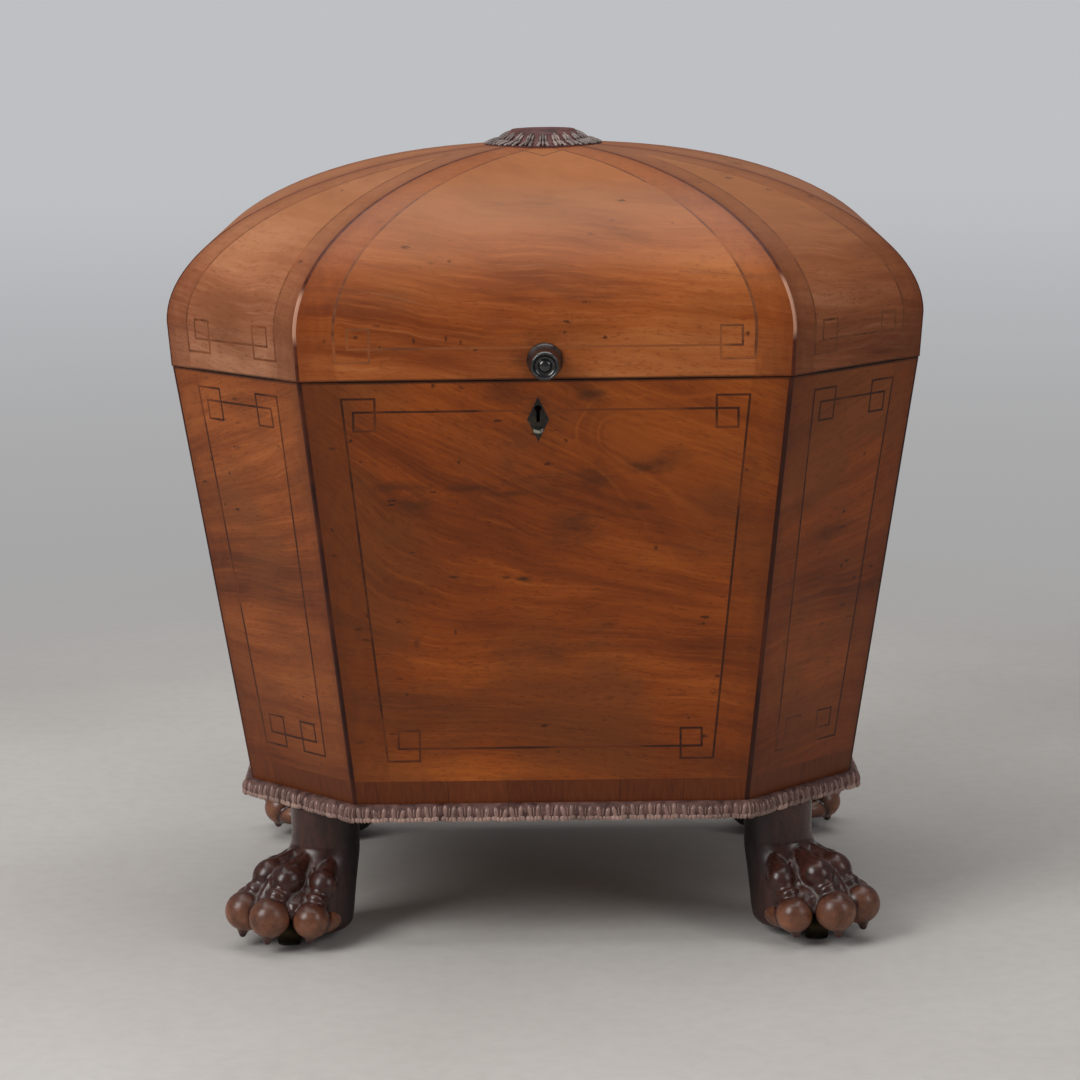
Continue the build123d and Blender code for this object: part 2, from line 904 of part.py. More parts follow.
def make_lock():
    """Box lock let into the inside of the front panel, its comb bolt and its screws."""
    half = lock_width / 2
    inner_half = half - lock_plate
    cavity = lock_depth - 2 * lock_plate
    with BuildPart() as above:
        with BuildSketch(level(rim)):
            Rectangle(3 * lock_width, 3 * half_depth)
        extrude(amount=lock_height)
    body = less(block(0, lock_depth, -half, half, -lock_plate, lock_height + lock_plate), [above.part])
    back = less(
        block(0, lock_plate, -half - lock_flange, half + lock_flange, -lock_plate, lock_height + lock_plate),
        [above.part],
    )
    hollow = block(lock_plate, cavity, -inner_half, inner_half, lock_plate, lock_height - 2 * lock_plate)
    slot_low = staple_middle() - staple_width / 2 - slot_sway - slot_clear / 2
    slot_depth = staple_width + slot_sway + slot_clear
    slots = [
        block(
            slot_low, slot_depth, x - staple_thickness / 2 - slot_clear,
            x + staple_thickness / 2 + slot_clear, -2 * lock_plate, 4 * lock_plate,
        )
        for x in staple_places()
    ]
    rails = []
    below = carrier_drop + carrier_height + bolt_clear
    for x in guide_places:
        for drop in (carrier_drop - bolt_clear - guide_height, below):
            rails.append(block(lock_plate, cavity, x, x + guide_width, drop, guide_height))
    planes = []
    for x in (-half - lock_flange / 2, half + lock_flange / 2):
        for drop in (lock_screw_drop, lock_height - lock_screw_drop):
            seat = lock_plane(0, drop)
            planes.append(Plane(origin=seat.origin + seat.x_dir * x, x_dir=seat.x_dir, z_dir=-seat.z_dir))
    screws = [small_screw(p) for p in planes]
    with BuildPart() as case:
        add(body)
        add(hollow, mode=Mode.SUBTRACT)
        add(back)
        for rail in rails:
            add(rail)
        for cut in slots + screws:
            add(cut, mode=Mode.SUBTRACT)
        add(keyhole(keyhole_plane()), mode=Mode.SUBTRACT)
    finish(case.part, "lock_case")
    finish(joined(slotted(s, p, small_screw_head) for s, p in zip(screws, planes)), "lock_screws")

    start = staple_middle() - finger_depth / 2
    tips = [x - staple_thickness / 2 - staple_gap for x in staple_places()]
    roots = [tip - finger_length for tip in tips]
    deep = carrier_drop + carrier_height
    with BuildPart() as bolt:
        add(block(start, finger_depth, roots[0] - riser_width, roots[1], carrier_drop, carrier_height))
        for root, tip in zip(roots, tips):
            add(block(start, finger_depth, root, tip, finger_drop, finger_height))
            add(block(start, finger_depth, root - riser_width, root, finger_drop, deep - finger_drop))
    finish(bolt.part, "lock_bolt")
    return [body, back] + screws


def make_link_plate():
    """Plate let into the lid's front edge, with two staples that drop into the lock."""
    seat = lock_plane(staple_middle())
    up = seat.y_dir
    top_drop = (seat.origin.Z - lid_bottom - link_plate_thickness / 2) / up.Z
    centre_y = (seat.origin + up * ((lid_bottom - seat.origin.Z) / up.Z)).Y
    with BuildPart() as plate:
        with BuildSketch(Plane(origin=(lock_offset, centre_y, lid_bottom))):
            RectangleRounded(link_plate_length, link_plate_width, link_plate_corner)
        extrude(amount=link_plate_thickness)
    eye_drop = finger_drop - (staple_eye - finger_height) / 2
    reach = staple_thickness / 2
    with BuildPart() as made:
        add(plate.part)
        for x in staple_places():
            add(block(staple_middle() - staple_width / 2, staple_width, x - reach, x + reach,
                      top_drop, staple_length - top_drop))
            add(block(staple_middle() - eye_depth / 2, eye_depth, x - 2 * reach, x + 2 * reach,
                      eye_drop, staple_eye), mode=Mode.SUBTRACT)
    planes = [
        Plane(origin=(lock_offset + x, centre_y, lid_bottom), x_dir=(1, 0, 0), z_dir=(0, 0, -1))
        for x in (-link_screw_place, 0, link_screw_place)
    ]
    screws = [small_screw(p) for p in planes]
    finish(less(made.part, screws), "lock_link_plate")
    turned = joined(slotted(s, p, small_screw_head) for s, p in zip(screws, planes))
    finish(turned, "link_plate_screws")
    return [plate.part] + screws


def hinge_line(x=0.0):
    """Plane across a hinge's axis at x, its own x pointing to the back and y up."""
    origin = (x, axis_y + half_depth + hinge_stand, rim + seam_gap / 2)
    return Plane(origin=origin, x_dir=(0, 1, 0), z_dir=(1, 0, 0))


def knuckles(x, chosen, bore):
    """Chosen knuckles of one hinge, bored for the pin."""
    pitch = hinge_length / hinge_knuckles
    rolls = []
    for k in chosen:
        start = x - hinge_length / 2 + k * pitch + hinge_gap / 2
        with BuildPart() as roll:
            with BuildSketch(hinge_line(start)):
                Circle(knuckle_radius)
                Circle(bore, mode=Mode.SUBTRACT)
            extrude(amount=pitch - hinge_gap)
        rolls.append(roll.part)
    return rolls


def make_leaf(x, low, chosen, others, bore):
    """Leaf of one hinge: a plate let in flush, cut back round the other leaf's knuckles."""
    pitch = hinge_length / hinge_knuckles
    back = axis_y + half_depth + hinge_stand
    with BuildPart() as plate:
        with BuildSketch(Plane.XY.offset(low)):
            with Locations((x, back)):
                Rectangle(
                    hinge_length - hinge_gap, leaf_width + hinge_stand, align=(Align.CENTER, Align.MAX)
                )
        extrude(amount=leaf_thickness)
    seat = plate.part
    with BuildPart() as leaf:
        add(seat)
        for roll in knuckles(x, chosen, bore):
            add(roll)
        for k in others:
            start = x - hinge_length / 2 + k * pitch - hinge_gap / 2
            room = cylinder_at(hinge_line(start), knuckle_radius + hinge_gap, pitch + hinge_gap)
            add(room, mode=Mode.SUBTRACT)
        add(cylinder_at(hinge_line(x - hinge_length), bore, 2 * hinge_length), mode=Mode.SUBTRACT)
    return leaf.part, seat


def make_hinges():
    """Two butt hinges; gives back what the back panel and the lid's back panel are cut for."""
    case_leaves, lid_leaves, pins = [], [], []
    case_turned, lid_turned = [], []
    case_cuts, lid_cuts = [], []
    reach = axis_y + half_depth - leaf_screw_place
    fixed, moving = (0, 2, 4), (1, 3)
    for x in (-hinge_offset, hinge_offset):
        places = [x + step * hinge_length / 3 for step in (-1, 0, 1)]
        down = [Plane(origin=(p, reach, rim), x_dir=(1, 0, 0), z_dir=(0, 0, 1)) for p in places]
        up = [Plane(origin=(p, reach, lid_bottom), x_dir=(1, 0, 0), z_dir=(0, 0, -1)) for p in places]
        fixed_leaf, fixed_seat = make_leaf(x, rim - leaf_thickness, fixed, moving, hinge_pin_radius)
        turning_leaf, turning_seat = make_leaf(
            x, lid_bottom, moving, fixed, hinge_pin_radius + fit_clear
        )
        low = [small_screw(p) for p in down]
        high = [small_screw(p) for p in up]
        relief = cylinder_at(
            hinge_line(x - hinge_length / 2 - hinge_gap), knuckle_radius + hinge_relief,
            hinge_length + 2 * hinge_gap,
        )
        case_leaves.append(less(fixed_leaf, low))
        lid_leaves.append(less(turning_leaf, high))
        pins.append(cylinder_at(hinge_line(x - hinge_length / 2), hinge_pin_radius, hinge_length))
        case_turned += [slotted(s, p, small_screw_head) for s, p in zip(low, down)]
        lid_turned += [slotted(s, p, small_screw_head) for s, p in zip(high, up)]
        case_cuts += [fixed_seat, relief] + low
        lid_cuts += [turning_seat, relief] + high
    finish(joined(case_leaves), "hinge_case_leaves")
    finish(joined(lid_leaves), "hinge_lid_leaves")
    finish(joined(pins), "hinge_pins")
    finish(joined(case_turned), "hinge_case_screws")
    finish(joined(lid_turned), "hinge_lid_screws")
    return case_cuts, lid_cuts


def make_escutcheon():
    """Lozenge let in flush round the keyhole."""
    front = face_plane(0)
    with BuildPart() as lozenge:
        with BuildSketch(front):
            with Locations((lock_offset, -escutcheon_drop)):
                Polygon(
                    (0, -escutcheon_height / 2), (escutcheon_width / 2, 0),
                    (0, escutcheon_height / 2), (-escutcheon_width / 2, 0), align=None,
                )
        extrude(amount=-escutcheon_depth)
    hole = keyhole(keyhole_plane())
    finish(less(lozenge.part, [hole]), "escutcheon")
    return lozenge.part, hole


def make_knob():
    """Turned knob: rose, neck and dished bulb on a spigot through the lid's front."""
    seat = Vector(0, axis_y - knob_seat_reach, rim + knob_above_rim)
    facing = Vector(0, -math.cos(knob_lean), -math.sin(knob_lean))
    side = Plane(origin=seat, x_dir=facing.cross(Vector(1, 0, 0)), z_dir=(1, 0, 0))
    with BuildPart() as knob:
        with BuildSketch(side):
            with BuildLine():
                Polyline((0, -lid_wall), (spigot_radius, -lid_wall), (spigot_radius, 0), (rose_radius, 0))
                Line((rose_radius, 0), (rose_radius, rose_height / 2))
                Line((rose_radius, rose_height / 2), (rose_radius - rose_chamfer, rose_height))
                ThreePointArc((rose_radius - rose_chamfer, rose_height), neck_sweep, (neck_radius, neck_top))
                ThreePointArc((neck_radius, neck_top), bulb_sweep, (bulb_radius, bulb_height))
                ThreePointArc((bulb_radius, bulb_height), bulb_shoulder, (knob_lip_radius, knob_length))
                Polyline((knob_lip_radius, knob_length), (dish_radius, knob_length - dish_depth),
                         (0, knob_length - dish_depth), (0, -lid_wall))
            make_face()
        revolve(axis=Axis(seat, facing))
    finish(knob.part, "lid_knob")
    hole = Plane(origin=seat - facing * lid_wall * 2, z_dir=facing)
    return cylinder_at(hole, spigot_radius, lid_wall * 2)


def make_lid(back_cuts, link_cuts, knob_hole):
    """Lid panels with their strips and lines, the crown block, its peg and the carved boss."""
    peg_hole = cylinder_at(level(belly), peg_radius, dome_rise + boss_height)
    skins = [lid_skin(i, lid_strip_depth) for i in range(3)]
    strips = [less(corner_strip(i, skins, lid_strip_half), [peg_hole]) for i in (1, 2)]
    strips = around_corners(*strips)
    kinds = []
    for i in range(3):
        edges = (strips[i], strips[i + 1], peg_hole)
        line = less(lid_line(i, lid_skin(i, line_depth)), edges)
        board = stave(i, lid_section(i, 0, lid_wall))
        kinds.append((less(board, edges + (line,)), line))
    panels, lines = (around(*pieces) for pieces in zip(*kinds))
    panels[0] = less(panels[0], link_cuts + [knob_hole])
    panels[4] = less(panels[4], back_cuts)
    for i, panel in enumerate(panels):
        finish(panel, f"lid_{face_names[i]}")
    finish(joined(strips), "lid_corner_strips")
    finish(joined(lines), "lid_line_inlay")

    block_low = apex - lid_wall - crown_block_height
    with BuildPart() as crown:
        for i in range(8):
            add(vault(i, lid_wall))
        add(cylinder_at(level(block_low), crown_block_radius, crown_block_height * 2), mode=Mode.INTERSECT)
        add(cylinder_at(level(block_low), peg_radius, crown_block_height * 2), mode=Mode.SUBTRACT)
    finish(crown.part, "lid_crown_block")
    peg_top = apex + boss_peg_seat
    finish(cylinder_at(level(block_low), peg_radius, peg_top - block_low), "crown_boss_peg")
    side = Plane(origin=(0, axis_y, 0), x_dir=(1, 0, 0), z_dir=(0, -1, 0))
    rim_point = (boss_radius, apex - boss_rim_drop)
    bend = (boss_petal_bend[0], apex + boss_petal_bend[1])
    neck = (boss_neck_radius, apex + boss_neck_height)
    boss_top = apex + boss_height
    with BuildPart() as boss:
        with BuildSketch(side):
            with BuildLine():
                Polyline((0, apex - boss_skirt), (boss_radius, apex - boss_skirt), rim_point)
                ThreePointArc(rim_point, bend, neck)
                Polyline(neck, (boss_top_radius, boss_top), (0, boss_top), (0, apex - boss_skirt))
            make_face()
        revolve(axis=Axis((0, axis_y, 0), (0, 0, 1)))
        for i in range(8):
            add(vault(i, 0), mode=Mode.SUBTRACT)
        add(cylinder_at(level(block_low), peg_radius, peg_top - block_low), mode=Mode.SUBTRACT)
    finish(boss.part, "lid_crown_boss")


def make_case():
    """Everything of the case above its bottom board; gives back what the lid's back is cut for."""
    lozenge, key_cut = make_escutcheon()
    panels = make_shell(lozenge)
    lock_cuts = make_lock()
    case_cuts, lid_cuts = make_hinges()
    panels[0] = less(panels[0], lock_cuts + [lozenge, key_cut])
    panels[4] = less(panels[4], case_cuts)
    for i, panel in enumerate(panels):
        finish(panel, f"case_{face_names[i]}")
    return lid_cuts


make_moulding()
make_feet_and_castors()
make_lining_and_rack()
lid_back_cuts = make_case()
make_lid(lid_back_cuts, make_link_plate(), make_knob())

print("axis_y", axis_y, "rim", rim, "apex", apex, "overall height", overall_height)
print("hinge line", hinge_line().origin)
for i in (1, 3, 5, 7):
    print("castor pivot", face_names[i], castor_pivot(i).origin)
print("keyhole", keyhole_plane().origin, "facing", keyhole_plane().z_dir)
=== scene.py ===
import math

import bmesh
import bpy
import numpy as np
from mathutils import Matrix, Vector


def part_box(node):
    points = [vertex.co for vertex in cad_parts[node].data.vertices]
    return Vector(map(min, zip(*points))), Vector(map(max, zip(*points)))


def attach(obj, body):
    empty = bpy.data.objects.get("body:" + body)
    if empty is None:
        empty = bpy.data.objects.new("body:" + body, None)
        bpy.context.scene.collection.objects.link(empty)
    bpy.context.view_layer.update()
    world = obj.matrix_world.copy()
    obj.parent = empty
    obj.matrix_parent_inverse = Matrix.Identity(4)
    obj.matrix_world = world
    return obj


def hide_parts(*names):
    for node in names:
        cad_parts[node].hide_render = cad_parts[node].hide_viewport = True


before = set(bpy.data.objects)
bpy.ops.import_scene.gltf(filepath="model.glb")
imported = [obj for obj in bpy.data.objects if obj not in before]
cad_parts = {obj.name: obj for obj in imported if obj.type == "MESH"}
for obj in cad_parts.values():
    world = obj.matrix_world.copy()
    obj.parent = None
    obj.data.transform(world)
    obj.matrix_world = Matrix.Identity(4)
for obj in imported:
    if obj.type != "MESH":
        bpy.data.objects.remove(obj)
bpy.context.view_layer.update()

# Faces of the octagon in order from the front, and the corners that carry a foot
FACES = ["front", "front_right", "right", "back_right", "back", "back_left", "left", "front_left"]
FOOT_FACES = ["front_right", "back_right", "back_left", "front_left"]

# Places read from the frame, in metres
board_low, board_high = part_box("bottom_board")
middle_y = (board_low.y + board_high.y) / 2
board_half = Vector((board_high.x, board_high.y - middle_y))
moulding_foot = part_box("base_moulding")[0].z
boss_low, boss_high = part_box("lid_crown_boss")
castor_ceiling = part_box("castor_plates")[1].z
# What the corners cut off the plan at the seam, and what they cut off the bottom board
SEAM_CORNER_CUT = 0.120
corner_cut = SEAM_CORNER_CUT * (board_high.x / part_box("case_corner_strips")[1].x)

# Camera, solved from the straight edges of the case, with its focal length in picture widths
VIEW_PLACE = (0.0098, -3.0321, 0.8941)
VIEW_YAW = math.radians(-0.334)
VIEW_DOWN = math.radians(10.536)
VIEW_ROLL = math.radians(-0.786)
VIEW_FOCAL = 3281.4 / 1080


def link(obj):
    bpy.context.scene.collection.objects.link(obj)
    return obj


def make_camera():
    lens = bpy.data.cameras.new("view")
    lens.sensor_width = 36
    lens.lens = VIEW_FOCAL * lens.sensor_width
    lens.clip_end = 50
    camera = link(bpy.data.objects.new("view", lens))
    turn = Matrix.Rotation(-VIEW_YAW, 4, "Z") @ Matrix.Rotation(math.radians(90) - VIEW_DOWN, 4, "X")
    x, y, z = VIEW_PLACE
    turn = turn @ Matrix.Rotation(VIEW_ROLL, 4, "Z")
    camera.matrix_world = Matrix.Translation((x, y + middle_y, z)) @ turn
    bpy.context.scene.camera = camera


class Recipe:
    """Node tree of one material, with short names for the nodes that finishes are mixed from."""

    def __init__(self, name):
        self.material = bpy.data.materials.new(name)
        self.material.use_nodes = True
        self.tree = self.material.node_tree
        self.shader = self.tree.nodes["Principled BSDF"]
        self.object = self.node("ShaderNodeTexCoord").outputs["Object"]

    def node(self, kind, **settings):
        made = self.tree.nodes.new(kind)
        for key, value in settings.items():
            setattr(made, key, value)
        return made

    def put(self, socket, value):
        if isinstance(value, bpy.types.NodeSocket):
            self.tree.links.new(value, socket)
        else:
            socket.default_value = value

    def fill(self, made, **values):
        """Sockets of a node by name, with spaces written as underscores."""
        for key, value in values.items():
            self.put(made.inputs[key.replace("_", " ")], value)

    def set(self, **values):
        self.fill(self.shader, **values)

    def base(self, colour):
        """The colour that a finish starts from."""
        self.colour = colour
        self.set(Base_Color=colour)

    def tint(self, share, tone):
        """Puts a tone over the colour so far, as far as the share goes."""
        self.base(self.mix(share, self.colour, tone))

    def place(self, vector, scale=(1, 1, 1), turn=(0, 0, 0), shift=(0, 0, 0)):
        made = self.node("ShaderNodeMapping")
        self.fill(made, Vector=vector, Scale=scale, Rotation=turn, Location=shift)
        return made.outputs[0]

    def noise(self, vector, scale, detail=4.0, roughness=0.55, distortion=0.0, colour=False):
        made = self.node("ShaderNodeTexNoise")
        self.fill(made, Vector=vector, Scale=scale, Detail=detail, Roughness=roughness,
                  Distortion=distortion)
        return made.outputs["Color" if colour else "Fac"]

    def cells(self, vector, scale):
        made = self.node("ShaderNodeTexVoronoi")
        self.fill(made, Vector=vector, Scale=scale)
        return made.outputs["Distance"]

    def wave(self, vector, scale, distortion, detail, direction):
        made = self.node("ShaderNodeTexWave", bands_direction=direction)
        self.fill(made, Vector=vector, Scale=scale, Distortion=distortion, Detail=detail)
        return made.outputs["Fac"]

    def math(self, operation, a, b=0.0):
        made = self.node("ShaderNodeMath", operation=operation)
        self.put(made.inputs[0], a)
        self.put(made.inputs[1], b)
        return made.outputs[0]

    def times(self, a, b):
        return self.math("MULTIPLY", a, b)

    def plus(self, a, b):
        return self.math("ADD", a, b)

    def minus(self, a, b):
        return self.math("SUBTRACT", a, b)

    def add_vector(self, vector, push, amount):
        """The vector moved by a noise colour round its middle grey."""
        centred = self.node("ShaderNodeVectorMath", operation="SUBTRACT")
        self.put(centred.inputs[0], push)
        self.put(centred.inputs[1], (0.5, 0.5, 0.5))
        made = self.node("ShaderNodeVectorMath", operation="MULTIPLY_ADD")
        self.put(made.inputs[0], centred.outputs[0])
        self.put(made.inputs[1], amount)
        self.put(made.inputs[2], vector)
        return made.outputs[0]

    def ranged(self, value, low, high, start=0.0, end=1.0):
        made = self.node("ShaderNodeMapRange", interpolation_type="SMOOTHSTEP")
        for socket, number in zip(made.inputs, (value, low, high, start, end)):
            self.put(socket, number)
        return made.outputs[0]

    def ramp(self, value, *stops):
        made = self.node("ShaderNodeValToRGB")
        points = made.color_ramp.elements
        while len(points) < len(stops):
            points.new(0.5)
        for point, (position, colour) in zip(points, stops):
            point.position = position
            point.color = (*colour, 1)
        self.put(made.inputs[0], value)
        return made.outputs["Color"]

    def mix(self, share, a, b):
        made = self.node("ShaderNodeMix", data_type="RGBA")
        self.put(made.inputs["Factor"], share)
        for name, value in (("A", a), ("B", b)):
            socket = next(s for s in made.inputs if s.name == name and s.type == "RGBA")
            self.put(socket, value if isinstance(value, bpy.types.NodeSocket) else (*value, 1))
        return next(s for s in made.outputs if s.type == "RGBA")

    def attribute(self, name):
        return self.node("ShaderNodeAttribute", attribute_name=name).outputs["Fac"]

    def split(self, vector):
        made = self.node("ShaderNodeSeparateXYZ")
        self.put(made.inputs[0], vector)
        return made.outputs

    def bump(self, height, strength, distance):
        made = self.node("ShaderNodeBump")
        self.fill(made, Height=height, Strength=strength, Distance=distance)
        return made.outputs[0]


def srgb(red, green, blue):
    """Colour as seen on a screen, 0 to 255, to the linear values that a shader takes."""
    return tuple(
        c / 12.92 if c <= 0.04045 else ((c + 0.055) / 1.055) ** 2.4
        for c in (red / 255, green / 255, blue / 255)
    )


# Mahogany, from its dark streaks to its bright figure
CASE_TONES = (srgb(82, 34, 8), srgb(117, 52, 12), srgb(137, 64, 16), srgb(166, 86, 28))
# Painted light: the front-left canted face of the case, on the lit side, gets these lighter tones
LEFT_CANT_LIT_TONES = (srgb(86, 38, 14), srgb(124, 61, 24), srgb(146, 76, 32), srgb(172, 98, 48))
LID_TONES = (srgb(106, 45, 14), srgb(142, 70, 26), srgb(160, 85, 38), srgb(180, 108, 58))
# Painted light and shade: the lid's front-left face lighter and its front-right face darker, for the
# light from the left
LID_LIT_AND_SHADED_TONES = {
    7: (srgb(98, 49, 28), srgb(134, 78, 50), srgb(152, 96, 67), srgb(176, 122, 90)),
    1: (srgb(94, 44, 22), srgb(124, 66, 36), srgb(142, 82, 50), srgb(166, 108, 74)),
}
INSIDE_TONES = (srgb(90, 60, 38), srgb(130, 92, 60), srgb(150, 110, 74), srgb(168, 128, 90))
SEAM_HEIGHT = 0.5183
# The curl in the front's figure: its middle, how far it tips down, how fast it opens, its reach,
# and how light its arcs are from the middle out
CURL_MIDDLE = (0.062, 0.470)
CURL_TILT = math.radians(25)
CURL_SPREAD = 14.0
CURL_REACH = 0.050
CURL_ARCS = ((0.0, 0.34), (0.20, 0.32), (0.28, 0.06), (0.335, 0.50), (0.38, 0.10), (0.48, 0.24),
             (0.56, 0.03), (0.67, 0.05), (0.715, 0.48), (0.76, 0.06), (0.86, 0.14), (1.0, 0.0))
# Plan at the seam by kind of face: how far out it stands, half its width, and how far its middle
# lies to one side
REACH = {0: 0.268, 1: 0.338, 2: 0.330}
HALF = {0: 0.210, 1: 0.0849, 2: 0.148}
MIDDLE = {0: 0.0, 1: 0.0438, 2: 0.0}
# How the case tapers with height, and the lid's swell, belly height and rise, which tell the
# outside from the inside
CASE_FOOT, CASE_TAPER = 0.76608, 0.45158
LID_SWELL, LID_BELLY, DOME_RISE = 1.01194, 0.5588, 0.144
# From the edge of a face to the far side of its line inlay: front, back and sides, corners, lid
CASE_BORDER, CANT_BORDER, LID_BORDER = 0.0271, 0.0313, 0.026

# Old stains of the front panel: place, size, strength, and how they are squashed across and upwards
FRONT_STAINS = (
    ((-0.0065, 0.489), 0.016, 0.50, (1.0, 0.8)),
    ((-0.030, 0.507), 0.012, 0.45, (0.5, 1.0)),
    ((0.040, 0.505), 0.008, 0.60, (0.5, 1.1)),
    ((-0.126, 0.425), 0.009, 0.50, (0.28, 1.3)),
    ((-0.114, 0.409), 0.012, 0.50, (0.40, 1.0)),
    ((-0.060, 0.424), 0.007, 0.55, (0.24, 1.2)),
    ((-0.033, 0.4185), 0.005, 0.50, (0.22, 1.3)),
    ((0.005, 0.421), 0.008, 0.45, (0.35, 1.1)),
    ((0.043, 0.431), 0.014, 0.50, (0.7, 0.9)),
    ((0.088, 0.441), 0.009, 0.60, (0.30, 1.3)),
    ((0.024, 0.388), 0.020, 0.50, (0.62, 0.9)),
    ((0.075, 0.405), 0.008, 0.40, (0.35, 1.1)),
    ((-0.0814, 0.3443), 0.0016, 0.90, (0.22, 1.0)),
    ((-0.0215, 0.3423), 0.0029, 0.95, (0.30, 1.0)),
    ((-0.0360, 0.3435), 0.0020, 0.70, (0.30, 1.0)),
    ((-0.081, 0.2944), 0.0018, 0.85, (0.8, 0.45)),
    ((-0.1166, 0.367), 0.0016, 0.75, (0.35, 0.9)),
    ((0.0936, 0.3685), 0.0018, 0.75, (0.8, 0.5)),
    ((-0.115, 0.285), 0.0030, 0.45, (0.8, 0.5)),
    ((0.052, 0.300), 0.0035, 0.35, (0.4, 1.0)),
)
# The handled patch round the knob
KNOB_GRIME = ((-0.0065, 0.535), 0.026, 0.6, (1.0, 0.8))
# Boxes in which the inlay of the front has nearly worn away, and how far; it fades in beside them
WORN_AND_LIT_FADE = 0.012
CASE_LINE_WORN = (((-0.050, -0.30, 0.470), (0.112, -0.20, 0.495), 0.85),
                  ((0.125, -0.30, 0.420), (0.16, -0.20, 0.475), 0.6))
LID_LINE_WORN = (((-0.060, -0.30, 0.535), (0.150, -0.20, 0.556), 0.85),)
# The same for the arrises of the lid, where a pale patch is a painted highlight of their polished edge
LID_ARRIS_HIGHLIGHTS = (((-0.26, -0.30, 0.560), (-0.16, -0.12, 0.588), 0.8),
                  ((0.16, -0.30, 0.560), (0.26, -0.12, 0.596), 0.8))
# Dark nicks along the foot of the lid's front
LID_STAINS = (
    ((-0.111, 0.5530), 0.0016, 0.85, (1.0, 0.5)),
    ((-0.0836, 0.5543), 0.0014, 0.85, (0.9, 0.4)),
    ((-0.0712, 0.5514), 0.0013, 0.85, (0.9, 0.5)),
    ((-0.0589, 0.5450), 0.0018, 0.80, (0.5, 0.8)),
    ((-0.160, 0.5570), 0.0015, 0.80, (0.6, 0.7)),
    ((-0.187, 0.5540), 0.0016, 0.75, (0.8, 0.5)),
    ((-0.140, 0.5480), 0.0012, 0.75, (0.7, 0.7)),
    ((0.172, 0.5560), 0.0014, 0.75, (0.8, 0.5)),
)


def kind_of(i):
    """Faces repeat by symmetry: 0 front and back, 1 across a corner, 2 left and right."""
    return 1 if i % 2 else i % 4


def edge_distance(mat, face, i):
    """How far a point lies from the nearer mitre of face i, in metres."""
    x, y, _ = mat.split(face)
    kind = kind_of(i)
    reach = REACH[kind]
    middle = MIDDLE[kind] * (1 if i in (1, 5) else -1)
    out = mat.times(y, -1)
    distances = []
    for side in (-1, 1):
        end = middle + side * HALF[kind]
        length = math.hypot(end, reach)
        along_part = mat.times(x, -side * reach / length)
        distances.append(mat.plus(along_part, mat.times(out, side * end / length)))
    return mat.math("MINIMUM", *distances)


def hypotenuse(mat, a, b):
    return mat.math("SQRT", mat.plus(mat.times(a, a), mat.times(b, b)))


def halfway(a, b):
    """The colour in the middle between two others."""
    return tuple(0.5 * one + 0.5 * other for one, other in zip(a, b))


def outer_skin(mat, face, i, lid):
    """1 on the outside of face i, where banding and handling show, and 0 on its inner side."""
    _, y, z = mat.split(face)
    out = mat.times(y, -1 / REACH[kind_of(i)])
    if lid:
        out = mat.times(out, 1 / LID_SWELL)
        up = mat.times(mat.math("MAXIMUM", mat.minus(z, LID_BELLY), 0.0), 1 / DOME_RISE)
        size = hypotenuse(mat, out, up)
    else:
        size = mat.math("DIVIDE", out, mat.plus(mat.times(z, CASE_TAPER), CASE_FOOT))
    return mat.ranged(size, 0.955, 0.970)


def grain_flow(mat, face, slant, shift):
    """Face coordinates bent so that level lines follow the grain: slanting above, level below."""
    x, y, z = mat.split(face)
    lean = mat.ranged(z, 0.27, 0.45, slant * 0.15, slant)
    bent = mat.plus(z, mat.times(lean, x))
    join = mat.node("ShaderNodeCombineXYZ")
    for socket, value in zip(join.inputs, (x, y, bent)):
        mat.put(socket, value)
    flow = mat.place(join.outputs[0], shift=shift)
    drift = mat.noise(flow, 3.6, 2.0, 0.5, colour=True)
    curl = mat.noise(flow, 14.0, 3.0, 0.5, colour=True)
    flow = mat.add_vector(flow, drift, (0.03, 0.03, 0.075))
    return mat.add_vector(flow, curl, (0.006, 0.006, 0.011))


def curled_figure(mat, tones):
    """Light arcs round the curl in the front's figure, spreading as they run down to the right."""
    x, _, z = mat.split(mat.object)
    level, fall = math.cos(CURL_TILT), math.sin(CURL_TILT)
    right = mat.minus(x, CURL_MIDDLE[0])
    up = mat.minus(z, CURL_MIDDLE[1])
    ahead = mat.minus(mat.times(right, level), mat.times(up, fall))
    across = mat.plus(mat.times(right, fall), mat.times(up, level))
    spread = mat.plus(mat.times(mat.math("MAXIMUM", ahead, 0.0), CURL_SPREAD), 1.0)
    across = mat.math("DIVIDE", across, spread)
    gap = hypotenuse(mat, mat.math("MINIMUM", ahead, 0.0), across)
    ragged = mat.noise(mat.object, 42.0, 3.0, 0.5)
    gap = mat.plus(gap, mat.times(mat.minus(ragged, 0.5), 0.012))
    stops = [(at, (light,) * 3) for at, light in CURL_ARCS]
    arcs = mat.ramp(mat.math("DIVIDE", gap, CURL_REACH), *stops)
    broken = mat.ranged(mat.noise(mat.object, 26.0, 3.0, 0.5), 0.36, 0.58, 0.25, 1.0)
    within = mat.times(mat.ranged(ahead, 0.13, 0.04), broken)
    calm = mat.times(mat.ranged(gap, CURL_REACH, CURL_REACH * 0.5, 0.0, 0.45), within)
    mat.tint(calm, halfway(tones[1], tones[2]))
    mat.tint(mat.times(arcs, within), tones[3])


